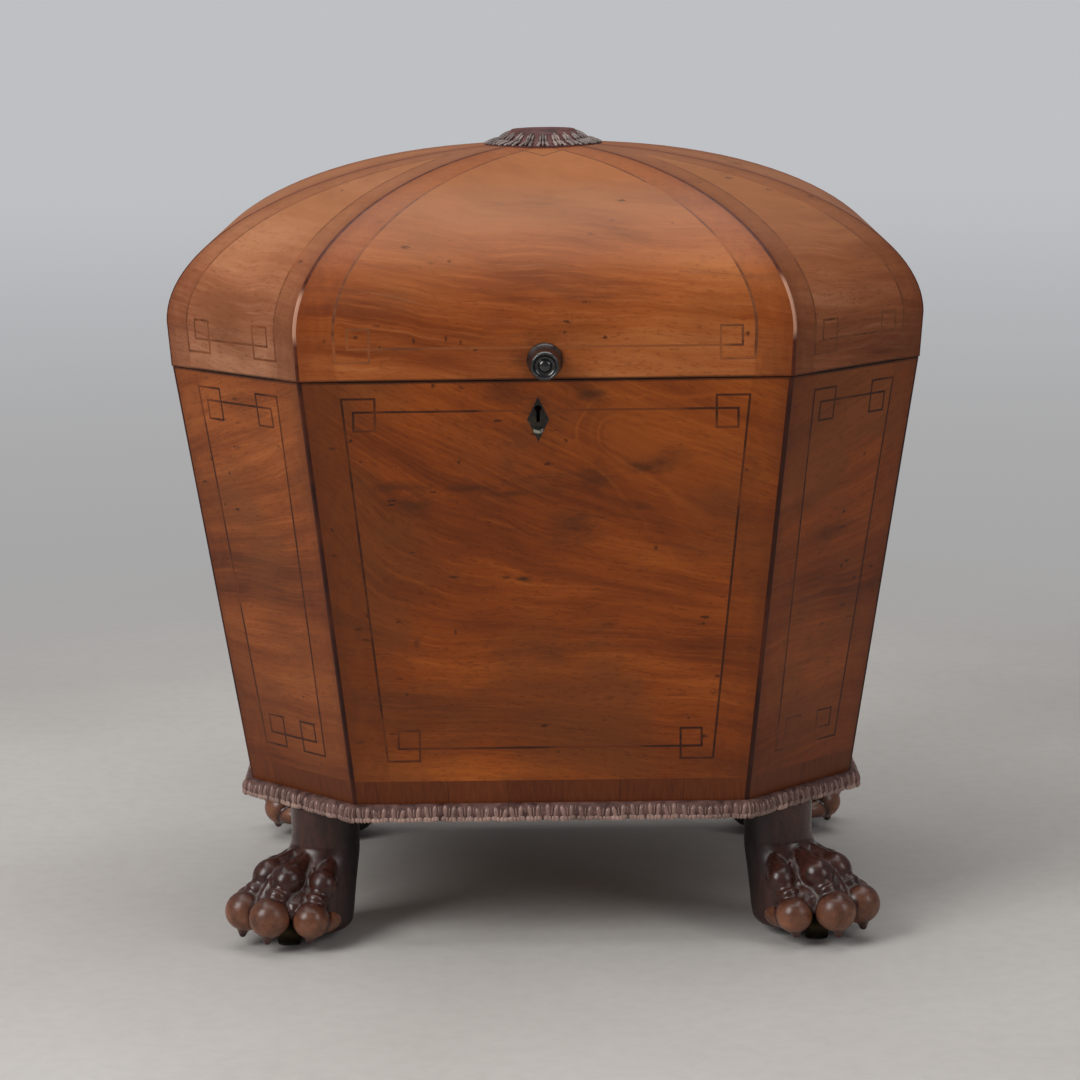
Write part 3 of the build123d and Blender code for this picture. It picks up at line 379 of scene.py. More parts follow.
def nicks(mat, here):
    """Small ticks and dents, thick in some places and missing in others: 1 in a nick, 0 beside it."""
    chipped = mat.noise(here, 420.0, 3.0, 0.6, colour=True)
    slanted = mat.place(here, scale=(26, 40, 70), turn=(0, 0.5, 0))
    ticks = mat.cells(mat.add_vector(slanted, chipped, (0.3, 0.3, 0.3)), 1.0)
    elsewhere = mat.place(here, shift=(3.1, 0.4, 1.7))
    dents = mat.cells(mat.add_vector(elsewhere, chipped, (0.006, 0.006, 0.006)), 36.0)
    marks = mat.math("MAXIMUM", mat.ranged(ticks, 0.12, 0.07), mat.ranged(dents, 0.075, 0.045))
    return mat.times(marks, mat.ranged(mat.noise(here, 9.0, 2.0), 0.48, 0.60))


def borders(mat, face, here, i, border, tones, lid):
    """A painted shadow either side of the seam, crossed grain outside the line inlay, and edges
    darkened by handling.
    """
    low, mid = tones[:2]
    # Painted shadow: a dark band a few millimetres wide along the seam between lid and case
    from_seam = mat.math("ABSOLUTE", mat.minus(mat.split(mat.object)[2], SEAM_HEIGHT))
    mat.tint(mat.ranged(from_seam, 0.0030, 0.0008, 0.0, 0.85), srgb(26, 11, 6))
    distance = edge_distance(mat, face, i)
    outside = outer_skin(mat, face, i, lid)
    band = mat.times(mat.ranged(distance, border - 0.0006, border + 0.0006, 1.0, 0.0), outside)
    across = mat.noise(mat.place(here, scale=(150, 150, 60)), 1.0, 4.0, 0.6)
    crossed = mat.ramp(across, (0.35, low), (0.7, mid))
    mat.tint(mat.times(band, 0.38 if lid else 0.28), crossed)
    handled = mat.times(mat.ranged(distance, 0.0, 0.014, 0.35, 0.0), outside)
    mat.tint(handled, low)


def mahogany(name, tones, i, shift, slant, border=None, lid=False):
    """Figured veneer under worn shellac: flowing grain, hair lines, pores, smudges and scratches."""
    mat = Recipe(name)
    centred = mat.place(mat.object, shift=(0, -middle_y, 0))
    face = mat.place(centred, turn=(0, 0, -math.radians(45 * i)))
    low, mid, high, bright = tones
    here = mat.place(face, shift=shift)
    z_here = mat.split(mat.object)[2]
    flow = grain_flow(mat, face, slant, shift)
    broad = mat.noise(mat.place(flow, scale=(3.4, 6, 13)), 1.0, 3.0, 0.5)
    streak = mat.noise(mat.place(flow, scale=(6, 12, 75)), 1.0, 5.0, 0.6)
    hair = mat.noise(mat.place(flow, scale=(15, 40, 330)), 1.0, 3.0, 0.6)
    tone = mat.plus(mat.times(broad, 0.60), mat.times(streak, 0.26))
    tone = mat.plus(tone, mat.times(hair, 0.14))
    mat.base(mat.ramp(tone, (0.38, low), (0.47, mid), (0.54, high), (0.66, bright)))
    hair_light = mat.ranged(hair, 0.56, 0.70, 0.0, 0.20)
    mat.tint(hair_light, bright)
    aged = mat.ranged(mat.noise(here, 7.0, 4.0, 0.55), 0.44, 0.62, 0.0, 0.62)
    mat.tint(aged, halfway(mid, srgb(104, 66, 34)))
    pores = mat.noise(mat.place(flow, scale=(110, 260, 460)), 1.0, 3.0, 0.75)
    pore_mask = mat.ranged(pores, 0.52, 0.66)
    mat.tint(mat.times(pore_mask, 0.42), low)
    if lid:
        # Painted reflection: the lid paler towards its crown, for the sheen on its upper part
        height_share = mat.ranged(z_here, 0.56, 0.68, 0.0, 0.68)
        wear_and_highlight = mat.times(height_share, mat.ranged(streak, 0.36, 0.6, 0.86, 1.08))
        mat.tint(wear_and_highlight, srgb(152, 97, 55))
        rubs = mat.noise(mat.place(flow, scale=(5, 16, 190)), 1.0, 4.0, 0.66)
        mat.tint(mat.ranged(rubs, 0.6, 0.76, 0.0, 0.2), srgb(186, 130, 90))
    smudge = mat.noise(mat.place(here, scale=(7, 14, 30)), 1.0, 5.0, 0.62, 0.4)
    smudge_mask = mat.ranged(smudge, 0.57, 0.76, 0.0, 0.3 if lid else 0.42)
    mat.tint(smudge_mask, srgb(58, 36, 20))
    marks = nicks(mat, here)
    mat.tint(mat.times(marks, 0.75), srgb(38, 20, 10))
    scuff = mat.noise(mat.place(here, scale=(16, 60, 240), turn=(0, -0.7, 0)), 1.0, 4.0, 0.7)
    scuff_mask = mat.ranged(scuff, 0.62, 0.76, 0.0, 0.3)
    mat.tint(scuff_mask, bright)
    # Painted shade: the canted faces of the case darker towards the bottom
    if i % 2 and not lid:
        mat.tint(mat.ranged(z_here, 0.36, 0.20, 0.0, 0.34), low)
    if border:
        borders(mat, face, here, i, border, tones, lid)
    height = mat.minus(mat.times(hair, 0.4), mat.times(pore_mask, 0.5))
    height = mat.minus(height, marks)
    rough = mat.plus(mat.times(smudge_mask, 0.2), mat.times(scuff_mask, 0.3))
    rough = mat.plus(rough, mat.ranged(broad, 0.3, 0.7, 0.44, 0.34))
    mat.set(Roughness=rough, Normal=mat.bump(height, 0.2, 0.0006))
    mat.set(Coat_Weight=0.05, Coat_Roughness=0.22, Specular_IOR_Level=0.2)
    return mat


def stain(mat, tone, place, size, strength, squash):
    """Darkens the finish round a place on the front, as handling, spills and knocks do."""
    gap = mat.node("ShaderNodeVectorMath", operation="DISTANCE")
    mat.put(gap.inputs[0], mat.place(mat.object, scale=(squash[0], 0.0, squash[1])))
    mat.put(gap.inputs[1], (place[0] * squash[0], 0.0, place[1] * squash[1]))
    broken = mat.noise(mat.place(mat.object, scale=(60, 60, 170)), 1.0, 5.0, 0.65)
    ragged = mat.plus(gap.outputs["Value"], mat.times(broken, size * 1.9))
    share = mat.ranged(ragged, size * 0.9, size * 2.1, strength, 0.0)
    mat.tint(share, tone)


def dark_wood(name, tone, light, grain=(3, 40, 40), gloss=0.34, worn_and_lit_tone=None, worn_and_lit_places=(), faint=0.6):
    """Inlay or a plain ground: quiet dark wood, fine in grain, paler in places: worn on the inlay lines
    and strips, and a painted highlight on the lid's arrises.
    """
    mat = Recipe(name)
    grained = mat.noise(mat.place(mat.object, scale=grain), 4.0, 5.0, 0.6, 0.4)
    blotch = mat.noise(mat.object, 24.0, 3.0, 0.5)
    mat.base(mat.ramp(grained, (0.32, tone), (0.7, light)))
    mat.tint(mat.ranged(blotch, 0.45, 0.75, 0.0, 0.6), light)
    if worn_and_lit_tone:
        share = mat.ranged(mat.noise(mat.object, 16.0, 3.0, 0.5), 0.48, 0.66, 0.0, faint)
        for low_corner, high_corner, strength in worn_and_lit_places:
            inside = strength
            for along_axis, start, end in zip(mat.split(mat.object), low_corner, high_corner):
                inside = mat.times(inside, mat.ranged(along_axis, start - WORN_AND_LIT_FADE, start))
                inside = mat.times(inside, mat.ranged(along_axis, end + WORN_AND_LIT_FADE, end))
            share = mat.math("MAXIMUM", share, inside)
        mat.tint(share, worn_and_lit_tone)
    mat.set(Roughness=mat.ranged(blotch, 0.3, 0.7, gloss, gloss + 0.14))
    mat.set(Normal=mat.bump(grained, 0.2, 0.0004), Specular_IOR_Level=0.2)
    return mat.material


def carved_wood(name, deep, body, wear_and_highlight, dust_and_shade, hollow_tint_share=0.85):
    """Carved mahogany: paler where it stands proud, worn on the paws and a painted highlight on the
    leaves;
    a second tone in its hollows, pale dust on the paws and painted shade on the leaves, which on the
    paws' thin ridges is partly a painted highlight; and painted shade, near black, on the back and
    inner side of the paws."""
    mat = Recipe(name)
    grain = mat.noise(mat.place(mat.object, scale=(30, 30, 9)), 5.0, 5.0, 0.6, 0.5)
    cloud = mat.noise(mat.object, 70.0, 4.0, 0.6)
    patches = mat.noise(mat.object, 34.0, 4.0, 0.6)
    ragged = mat.times(mat.minus(cloud, 0.5), 0.5)
    carving = mat.plus(mat.attribute("carving"), ragged)
    mat.base(mat.ramp(grain, (0.3, deep), (0.68, body)))
    mat.tint(mat.ranged(patches, 0.42, 0.66, 0.0, 0.5), body)
    # Paler tone on proud parts: wear on the paws, a painted highlight on the carved leaves
    wear_and_highlight_share = mat.times(mat.ranged(carving, 0.02, -0.22), mat.attribute("wear_and_highlight_share"))
    wear_and_highlight_share = mat.times(wear_and_highlight_share, mat.ranged(cloud, 0.30, 0.56, 0.55, 1.0))
    wear_and_highlight_tone = mat.ramp(patches, (0.36, wear_and_highlight), (0.50, tuple(0.70 * c for c in wear_and_highlight)),
                         (0.62, tuple(0.36 * c for c in wear_and_highlight)))
    mat.tint(wear_and_highlight_share, wear_and_highlight_tone)
    # Second tone in the hollows: pale dust on the paws, painted shade on the carved leaves
    hollow = mat.ranged(carving, 0.14, 0.50, 0.0, hollow_tint_share)
    # On the paws' thin ridges the same tone is partly dust and partly a painted highlight
    ridge = mat.ranged(carving, -0.42, -0.66, 0.0, 0.6)
    dust_shade_and_ridge_highlight = mat.math("MAXIMUM", hollow, mat.times(ridge, mat.attribute("ridged")))
    mat.tint(dust_shade_and_ridge_highlight, dust_and_shade)
    # Painted shade: darkened nearly to black where the paw's sheltered mark is set
    painted_shade = mat.attribute("painted_shade")
    mat.tint(mat.times(painted_shade, 0.92), srgb(10, 7, 6))
    specks = mat.ranged(mat.noise(mat.object, 420.0, 2.0, 0.6), 0.62, 0.72, 0.0, 0.4)
    mat.tint(specks, deep)
    rough = mat.plus(mat.ranged(cloud, 0.35, 0.7, 0.24, 0.36), mat.times(dust_shade_and_ridge_highlight, 0.3))
    rough = mat.plus(rough, mat.times(wear_and_highlight_share, 0.12))
    rough = mat.plus(rough, mat.times(painted_shade, 0.30))
    height = mat.plus(mat.times(grain, 0.5), mat.times(cloud, 0.5))
    mat.set(Roughness=rough, Normal=mat.bump(height, 0.25, 0.0008))
    mat.set(Coat_Weight=0.12, Coat_Roughness=0.2, Specular_IOR_Level=0.38)
    return mat.material


def ebonised():
    """Turned and blackened knob: near black, glossy, with fine turning rings and a little dust."""
    mat = Recipe("ebonised_knob")
    rings = mat.wave(mat.object, 260.0, 0.6, 1.0, "Y")
    cloud = mat.noise(mat.object, 90.0, 4.0, 0.6)
    mat.base(mat.ramp(cloud, (0.4, srgb(14, 13, 14)), (0.75, srgb(34, 31, 31))))
    mat.set(Roughness=mat.ranged(cloud, 0.35, 0.75, 0.26, 0.4))
    mat.set(Normal=mat.bump(rings, 0.06, 0.0002), Coat_Weight=0.7, Coat_Roughness=0.17)
    return mat.material


def metal(name, tone, tarnish, rough=0.34, scale=60.0):
    """Old metal with a mottled tarnish in its colour and its gloss."""
    mat = Recipe(name)
    mottled = mat.noise(mat.object, scale, 6.0, 0.62)
    fine = mat.noise(mat.object, scale * 9, 3.0, 0.6)
    mat.base(mat.mix(mat.ranged(mottled, 0.38, 0.66), tone, tarnish))
    mat.set(Metallic=0.9, Roughness=mat.ranged(mottled, 0.3, 0.7, rough, rough + 0.3))
    mat.set(Normal=mat.bump(mat.plus(fine, mottled), 0.2, 0.0003))
    return mat.material


# Middle and height of the pale lip under the keyhole, a painted highlight, and how much it bends down
# at its ends
LIP_MIDDLE, LIP_HEIGHT, LIP_BEND = -0.0066, 0.4722, 90.0


def escutcheon_finish():
    """Dark lozenge gone olive with age, darker round its keyhole, with a near-black slot of painted
    shade and, low down, a short pale lip that is a painted highlight.
    """
    mat = Recipe("escutcheon_lozenge")
    x, _, z = mat.split(mat.object)
    cloud = mat.noise(mat.object, 160.0, 5.0, 0.6)
    mat.base(mat.ramp(cloud, (0.36, srgb(22, 17, 12)), (0.58, srgb(46, 38, 27)),
                      (0.76, srgb(92, 82, 64))))
    from_middle = mat.math("ABSOLUTE", mat.minus(x, LIP_MIDDLE))
    upper_dark = mat.times(mat.ranged(z, 0.481, 0.488), mat.ranged(from_middle, 0.0075, 0.0035))
    mat.tint(mat.times(upper_dark, 0.8), srgb(15, 11, 8))
    bent = mat.minus(z, mat.times(mat.math("POWER", from_middle, 2.0), LIP_BEND))
    within = mat.ranged(from_middle, 0.0046, 0.0036)
    # Pale lip under the keyhole: a painted highlight
    lip_highlight = mat.times(mat.ranged(bent, LIP_HEIGHT - 0.0015, LIP_HEIGHT),
                    mat.ranged(bent, LIP_HEIGHT + 0.0026, LIP_HEIGHT + 0.0014))
    lip_highlight = mat.times(lip_highlight, mat.ranged(mat.noise(mat.object, 240.0, 2.0), 0.34, 0.55))
    # Painted shade: a near-black slot above the lip, for the shadow in the keyhole
    gap = mat.times(mat.ranged(z, LIP_HEIGHT + 0.0018, LIP_HEIGHT + 0.0028),
                    mat.ranged(z, LIP_HEIGHT + 0.0062, LIP_HEIGHT + 0.0050))
    mat.tint(mat.times(gap, within), srgb(10, 9, 7))
    mat.tint(mat.times(lip_highlight, within), srgb(150, 146, 134))
    mat.set(Roughness=mat.ranged(cloud, 0.3, 0.8, 0.26, 0.5))
    mat.set(Metallic=0.35, Normal=mat.bump(cloud, 0.25, 0.0004))
    return mat.material


# How many blocks of crossbanding go to a radian of the way round the case
BLOCKS_A_RADIAN = 4.6


def crossbanding():
    """Short upright blocks of veneer, each a little different in tone."""
    mat = Recipe("case_crossbanding")
    x, y, _ = mat.split(mat.place(mat.object, shift=(0, -middle_y, 0)))
    round_case = mat.times(mat.math("ARCTAN2", y, x), BLOCKS_A_RADIAN)
    block = mat.math("FLOOR", round_case)
    odd = mat.math("FRACT", mat.times(mat.math("SINE", mat.times(block, 12.9)), 43.7))
    grain = mat.noise(mat.place(mat.object, scale=(60, 60, 6)), 6.0, 5.0, 0.6, 0.4)
    tone = mat.plus(mat.times(grain, 0.8), mat.times(odd, 0.2))
    mat.base(mat.ramp(tone, (0.26, srgb(82, 38, 16)), (0.52, srgb(99, 47, 20)),
                      (0.78, srgb(112, 56, 25))))
    joint = mat.math("FRACT", round_case)
    joint = mat.math("MINIMUM", joint, mat.minus(1.0, joint))
    mat.tint(mat.ranged(joint, 0.016, 0.0, 0.0, 0.5), srgb(44, 22, 13))
    mat.set(Roughness=mat.ranged(grain, 0.3, 0.7, 0.34, 0.46))
    mat.set(Normal=mat.bump(grain, 0.2, 0.0005), Specular_IOR_Level=0.2)
    return mat.material


def paint(finish, *pieces):
    """Gives pieces that keep their own solids a finish."""
    for piece in pieces:
        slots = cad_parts[piece].data.materials
        slots.clear()
        slots.append(finish)


def finish_kept_solids():
    """Finishes of the panels, inlays, inside and fittings, face by face where they differ."""
    for i, face in enumerate(FACES):
        step = 0.37 * i
        tones = LEFT_CANT_LIT_TONES if i == 7 else CASE_TONES
        slant = 0.5 if i in (0, 3, 6) else -0.35
        case = mahogany(f"case_veneer_{face}", tones, i, (step, step, step * 2), slant,
                        CANT_BORDER if i % 2 else CASE_BORDER)
        lid = mahogany(f"lid_veneer_{face}", LID_LIT_AND_SHADED_TONES.get(i, LID_TONES), i, (step, 1.3, step),
                       0.12, LID_BORDER, True)
        if i == 0:
            curled_figure(case, tones)
            for place in FRONT_STAINS:
                stain(case, srgb(44, 27, 14), *place)
            for place in LID_STAINS:
                stain(lid, srgb(44, 22, 12), *place)
            stain(lid, srgb(62, 30, 16), *KNOB_GRIME)
        paint(case.material, f"case_{face}")
        paint(lid.material, f"lid_{face}")
    paint(dark_wood("ebony_line", srgb(44, 20, 11), srgb(74, 36, 18),
                    worn_and_lit_tone=srgb(122, 60, 24), worn_and_lit_places=CASE_LINE_WORN), "case_line_inlay")
    paint(dark_wood("lid_ebony_line", srgb(88, 48, 29), srgb(126, 74, 45), worn_and_lit_tone=srgb(150, 84, 44),
                    worn_and_lit_places=LID_LINE_WORN, faint=0.8), "lid_line_inlay")
    paint(dark_wood("corner_strip", srgb(36, 12, 6), srgb(60, 24, 12), (40, 40, 3), 0.44,
                    srgb(84, 38, 18)), "case_corner_strips")
    # Pale patches on the lid's front arrises: painted highlights
    paint(dark_wood("lid_corner_strip", srgb(58, 24, 13), srgb(98, 46, 26), worn_and_lit_tone=srgb(196, 146, 120),
                    worn_and_lit_places=LID_ARRIS_HIGHLIGHTS, faint=0.0), "lid_corner_strips")
    paint(crossbanding(), "case_crossbanding")
    rough = mahogany("inside_wood", INSIDE_TONES, 0, (0.2, 0.1, 0.4), 0.05).material
    paint(rough, "bottom_board", "lid_crown_block", "crown_boss_peg",
          "rack_long_board_front", "rack_long_board_back")
    across = mahogany("inside_wood_across", INSIDE_TONES, 2, (0.5, 0.3, 0.1), 0.05).material
    paint(across, "rack_cross_board_left", "rack_cross_board_middle", "rack_cross_board_right")
    paint(escutcheon_finish(), "escutcheon")
    brass = metal("aged_brass", srgb(150, 118, 62), srgb(84, 62, 34))
    sooty = metal("blackened_brass", srgb(58, 48, 32), srgb(26, 22, 18), 0.45)
    iron = metal("dull_iron", srgb(96, 92, 88), srgb(52, 44, 38), 0.42)
    paint(metal("sheet_lead", srgb(112, 114, 118), srgb(72, 74, 78), 0.5, 14.0), "lead_lining")
    paint(brass, "hinge_case_leaves", "hinge_lid_leaves", "lock_link_plate", "castor_plates",
          *(f"castor_horn_{corner}" for corner in FOOT_FACES))
    paint(sooty, "lock_case", *(f"castor_wheel_{corner}" for corner in FOOT_FACES))
    paint(iron, "hinge_pins", "hinge_case_screws", "hinge_lid_screws", "lock_bolt", "lock_screws",
          "link_plate_screws", "castor_screws", "foot_screws")


def along(i):
    """Direction in which the foot of face i runs, and in which face i + 2 looks."""
    angle = math.radians(45 * i)
    return Vector((math.cos(angle), math.sin(angle), 0))


def board_corners():
    """Plan of the bottom board, corner i between faces i-1 and i, anticlockwise from front left."""
    x, y = board_half
    plan = [(-x + corner_cut, -y), (x - corner_cut, -y), (x, -y + corner_cut), (x, y - corner_cut),
            (x - corner_cut, y), (-x + corner_cut, y), (-x, y - corner_cut), (-x, -y + corner_cut)]
    return [Vector((px, py + middle_y, 0)) for px, py in plan]


def as_mesh(name, bm, turn_out=True):
    """The mesh of a bmesh, which is used up, with its faces turned outwards."""
    if turn_out:
        bmesh.ops.recalc_face_normals(bm, faces=bm.faces)
    mesh = bpy.data.meshes.new(name)
    bm.to_mesh(mesh)
    bm.free()
    return mesh


def polished(mesh, material):
    """Smooth shading and a finish on the whole of a mesh."""
    for polygon in mesh.polygons:
        polygon.use_smooth = True
    mesh.materials.append(material)


def finished(name, bm, material, body):
    """Object at the origin made from a bmesh, finished and riding on a body."""
    bmesh.ops.remove_doubles(bm, verts=bm.verts, dist=1e-7)
    mesh = as_mesh(name, bm)
    polished(mesh, material)
    obj = link(bpy.data.objects.new(name, mesh))
    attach(obj, body)
    return obj


def ellipsoid(bm, centre, radii, turn=None, segments=24, rings=14):
    """Ball squashed to three radii, turned and put in place."""
    place = Matrix.Translation(centre) @ (turn or Matrix.Identity(4)) @ Matrix.Diagonal((*radii, 1))
    bmesh.ops.create_uvsphere(bm, u_segments=segments, v_segments=rings, radius=1, matrix=place)


def link_between(bm, start, start_radius, end, end_radius, segments=20):
    """Tapering round link between two points."""
    start, end = Vector(start), Vector(end)
    run = end - start
    place = Matrix.Translation((start + end) / 2) @ along_run(run, "Z", "Y")
    bmesh.ops.create_cone(
        bm, cap_ends=True, segments=segments, radius1=start_radius, radius2=end_radius,
        depth=run.length, matrix=place,
    )


MM = 0.001

# Lion paw in its own frame, in millimetres: x outwards across the corner, y across the paw
PAW_TOP = 120.5
PAW_LOW = 8.5
# Shank from the top down: height, place outwards, half its length and half its width
SHANK_SECTIONS = (
    (PAW_TOP, -26.0, 31.0, 31.0), (108.0, -26.0, 31.0, 31.0), (94.0, -26.0, 30.6, 30.8),
    (84.0, -25.5, 31.0, 31.0), (76.0, -23.0, 33.0, 32.5), (68.0, -18.5, 35.5, 34.5),
    (58.0, -14.0, 37.5, 36.5), (46.0, -10.0, 39.5, 37.5), (34.0, -9.0, 39.0, 37.0),
    (22.0, -8.0, 38.5, 36.8), (13.0, -7.0, 37.5, 36.0), (PAW_LOW, -5.0, 34.5, 33.0),
)
# Ball, knuckle and root of each toe: place and radius
INNER_TOE = (((56.5, 16.4, 33.0), 18.2), ((30.7, 12.4, 61.4), 14.8), ((1.0, 6.6, 75.5), 7.2))
OUTER_TOE = (((29.0, 40.6, 29.4), 16.4), ((6.8, 33.0, 56.5), 13.4), ((-9.0, 23.8, 72.0), 6.8))
# Radii of the cuff behind a ball and how far it stands up, and of the claw, and its point's height
CUFF_RADIUS, CUFF_RISE = 7.0, 2.8
CLAW_RADIUS, CLAW_TIP_RADIUS, CLAW_TIP_HEIGHT = 7.4, 2.4, 8.8
# Valleys between the toes, the ridge in each, the round floor under it, and what it sinks towards
MIDDLE_VALLEY = ((0.5, 0, 78), (15, 0, 74.0), (28, 0, 71.2), (40, 0, 63), (51, 0, 50), (58, 0, 40))
SIDE_VALLEY = ((-3.0, 19.0, 75), (9.3, 22, 68.5), (18, 24.5, 60.5),
               (24.5, 27, 51.5), (36, 30, 45.0), (43, 31.5, 40))
RIDGE_RADIUS, FLOOR_RADIUS = 1.4, 9.0
PAW_HEART = (0, 0, 34)
# Place and radii of the pad beside the outer toe
SIDE_PAD = ((16.0, 43.0, 25.0), (19.0, 10.0, 9.5))
# Tendons up each side of the shank: foot and head with their radii
TENDONS = (((-1.0, 6.6, 77), 6.6, (-5.5, 6.4, 102), 5.0),
           ((-11.0, 22.5, 74), 6.0, (-14.5, 21.0, 98), 5.0))
# Hollow for the castor: how far out it lies, and its radius
CASTOR_PLACE, CASTOR_HOLLOW = 19.0, 31.0
# Grain of the fused skin, and how many times it is smoothed
VOXEL, SMOOTHINGS = 1.2, 4


def flip(point, side):
    return Vector((point[0], point[1] * side, point[2])) * MM


def along_run(run, axis="X", up="Z"):
    """Turn that lays an axis along a run, and a second one as upright as it can be."""
    return run.to_track_quat(axis, up).to_matrix().to_4x4()


def toe(bm, side, ball, knuckle, root):
    """Tendon, knuckle, cuff, ball and claw of one toe."""
    (ball_place, ball_radius), (knuckle_place, knuckle_radius), (root_place, root_radius) = (
        (flip(place, side), radius * MM) for place, radius in (ball, knuckle, root))
    run = ball_place - knuckle_place
    down = along_run(run)
    up = (down @ Vector((0, 0, 1))).normalized()
    out = Vector((ball_place.x - root_place.x, ball_place.y - root_place.y, 0)).normalized()
    ellipsoid(bm, ball_place, (ball_radius * 1.05, ball_radius, ball_radius), along_run(out))
    climb = along_run(knuckle_place - root_place)
    ellipsoid(bm, knuckle_place, (knuckle_radius * 1.14, knuckle_radius, knuckle_radius * 0.98), climb)
    cuff = knuckle_place + run * 0.50 + up * (CUFF_RISE * MM)
    ellipsoid(bm, cuff, (CUFF_RADIUS * MM, ball_radius * 0.60, ball_radius * 0.58), down)
    link_between(bm, knuckle_place, knuckle_radius * 0.72, ball_place, ball_radius * 0.62, 32)
    link_between(bm, root_place, root_radius, knuckle_place, knuckle_radius * 0.84, 32)
    ellipsoid(bm, root_place, (root_radius * 1.25, root_radius * 1.05, root_radius), climb)
    base = ball_place + out * (3.0 * MM) - Vector((0, 0, ball_radius * 0.66))
    tip = Vector((base.x + out.x * 1.5 * MM, base.y + out.y * 1.5 * MM, CLAW_TIP_HEIGHT * MM))
    link_between(bm, base, CLAW_RADIUS * MM, tip, CLAW_TIP_RADIUS * MM, 16)


def web(bm, side, points):
    """Thin ridge that runs down between two toes, on the rounded floor of their valley."""
    places = [flip(p, side) for p in points]
    inside = flip(PAW_HEART, side)
    beds = [p + (inside - p).normalized() * (FLOOR_RADIUS * MM) for p in places]
    for line, width in ((places, RIDGE_RADIUS), (beds, FLOOR_RADIUS)):
        for start, end in zip(line, line[1:]):
            link_between(bm, start, width * MM, end, width * MM, 14)
            ellipsoid(bm, end, (width * MM,) * 3, segments=14, rings=10)


def shank(bm):
    """Column of the leg, bridged from oval to oval and closed at both ends."""
    loops = []
    for height, place, half_length, half_across in SHANK_SECTIONS:
        shape = Matrix.Translation(Vector((place, 0, height)) * MM)
        shape = shape @ Matrix.Diagonal((half_length * MM, half_across * MM, 1, 1))
        ring = bmesh.ops.create_circle(bm, segments=48, radius=1, matrix=shape)["verts"]
        loops.append([e for e in {e for v in ring for e in v.link_edges}])
    for upper, lower in zip(loops, loops[1:]):
        bmesh.ops.bridge_loops(bm, edges=upper + lower)
    bmesh.ops.contextual_create(bm, geom=loops[0])
    bmesh.ops.contextual_create(bm, geom=loops[-1])


def evaluated(obj):
    """The mesh of an object with its modifiers applied."""
    return bpy.data.meshes.new_from_object(obj.evaluated_get(bpy.context.evaluated_depsgraph_get()))


def from_mesh(mesh):
    made = bmesh.new()
    made.from_mesh(mesh)
    return made


def fused(bm):
    """The overlapping forms of a bmesh run together into one skin, and smoothed a little."""
    obj = link(bpy.data.objects.new("fusing", as_mesh("fusing", bm, False)))
    remesh = obj.modifiers.new("fuse", "REMESH")
    remesh.mode = "VOXEL"
    remesh.voxel_size = VOXEL * MM
    remesh.adaptivity = 0
    made = from_mesh(evaluated(obj))
    bpy.data.objects.remove(obj)
    for _ in range(SMOOTHINGS):
        bmesh.ops.smooth_vert(made, verts=made.verts, factor=0.5,
                              use_axis_x=True, use_axis_y=True, use_axis_z=True)
    return made


def cut_away(bm, cutter):
    """The bmesh with a second bmesh's space taken out."""
    body, tool = (link(bpy.data.objects.new(label, as_mesh(label, source, False)))
                  for label, source in (("body", bm), ("cutter", cutter)))
    boolean = body.modifiers.new("cut", "BOOLEAN")
    boolean.operation = "DIFFERENCE"
    boolean.solver = "MANIFOLD"
    boolean.object = tool
    made = from_mesh(evaluated(body))
    bpy.data.objects.remove(body)
    bpy.data.objects.remove(tool)
    return made


def point_values(mesh, what):
    """Three numbers of each point of a mesh, one row a point."""
    values = np.empty(len(mesh.vertices) * 3)
    mesh.vertices.foreach_get(what, values)
    return values.reshape(-1, 3)


def mark_carving(mesh, reach, rounds=12):
    """Stores how deep each point lies in a hollow (above 0) or how proud it stands (below 0)."""
    count = len(mesh.vertices)
    place = point_values(mesh, "co")
    normal = point_values(mesh, "normal")
    edges = np.empty(len(mesh.edges) * 2, dtype=np.int64)
    mesh.edges.foreach_get("vertices", edges)
    a, b = edges.reshape(-1, 2).T
    share = np.bincount(a, minlength=count) + np.bincount(b, minlength=count)
    soft = place.copy()
    for _ in range(rounds):
        total = np.zeros_like(soft)
        for axis in range(3):
            total[:, axis] = np.bincount(a, soft[b, axis], count) + np.bincount(b, soft[a, axis], count)
        soft = total / np.maximum(share, 1)[:, None]
    depth = ((soft - place) * normal).sum(axis=1) / (reach * MM)
    store(mesh, "carving", np.clip(depth, -1, 1))
    return place


def store(mesh, name, values):
    """Stores one number on each point, for a material to read."""
    made = mesh.attributes.new(name, "FLOAT", "POINT")
    made.data.foreach_set("value", values.astype(np.float32))


def ball_share(place):
    """1 on the balls of the toes, where the finish has rubbed down to brown, and 0 beyond them."""
    share = np.zeros(len(place))
    for toe_here, side in ((INNER_TOE, -1), (INNER_TOE, 1), (OUTER_TOE, -1), (OUTER_TOE, 1)):
        centre, radius = toe_here[0]
        gap = np.linalg.norm(place - np.array(flip(centre, side)), axis=1) / MM
        on_ball = np.clip((radius * 1.16 - gap) / (radius * 0.12), 0, 1)
        below_top = np.clip((centre[2] + radius * 0.92 - place[:, 2] / MM) / (radius * 1.2), 0, 1)
        share = np.maximum(share, on_ball * (0.16 + 0.84 * below_top))
    for side in (-1, 1):
        reach = (place - np.array(flip(SIDE_PAD[0], side))) / MM / np.array(SIDE_PAD[1])
        share = np.maximum(share, 0.8 * np.clip((1.25 - np.linalg.norm(reach, axis=1)) / 0.2, 0, 1))
    return share * np.clip((place[:, 2] / MM - 12.0) / 4.0, 0, 1)


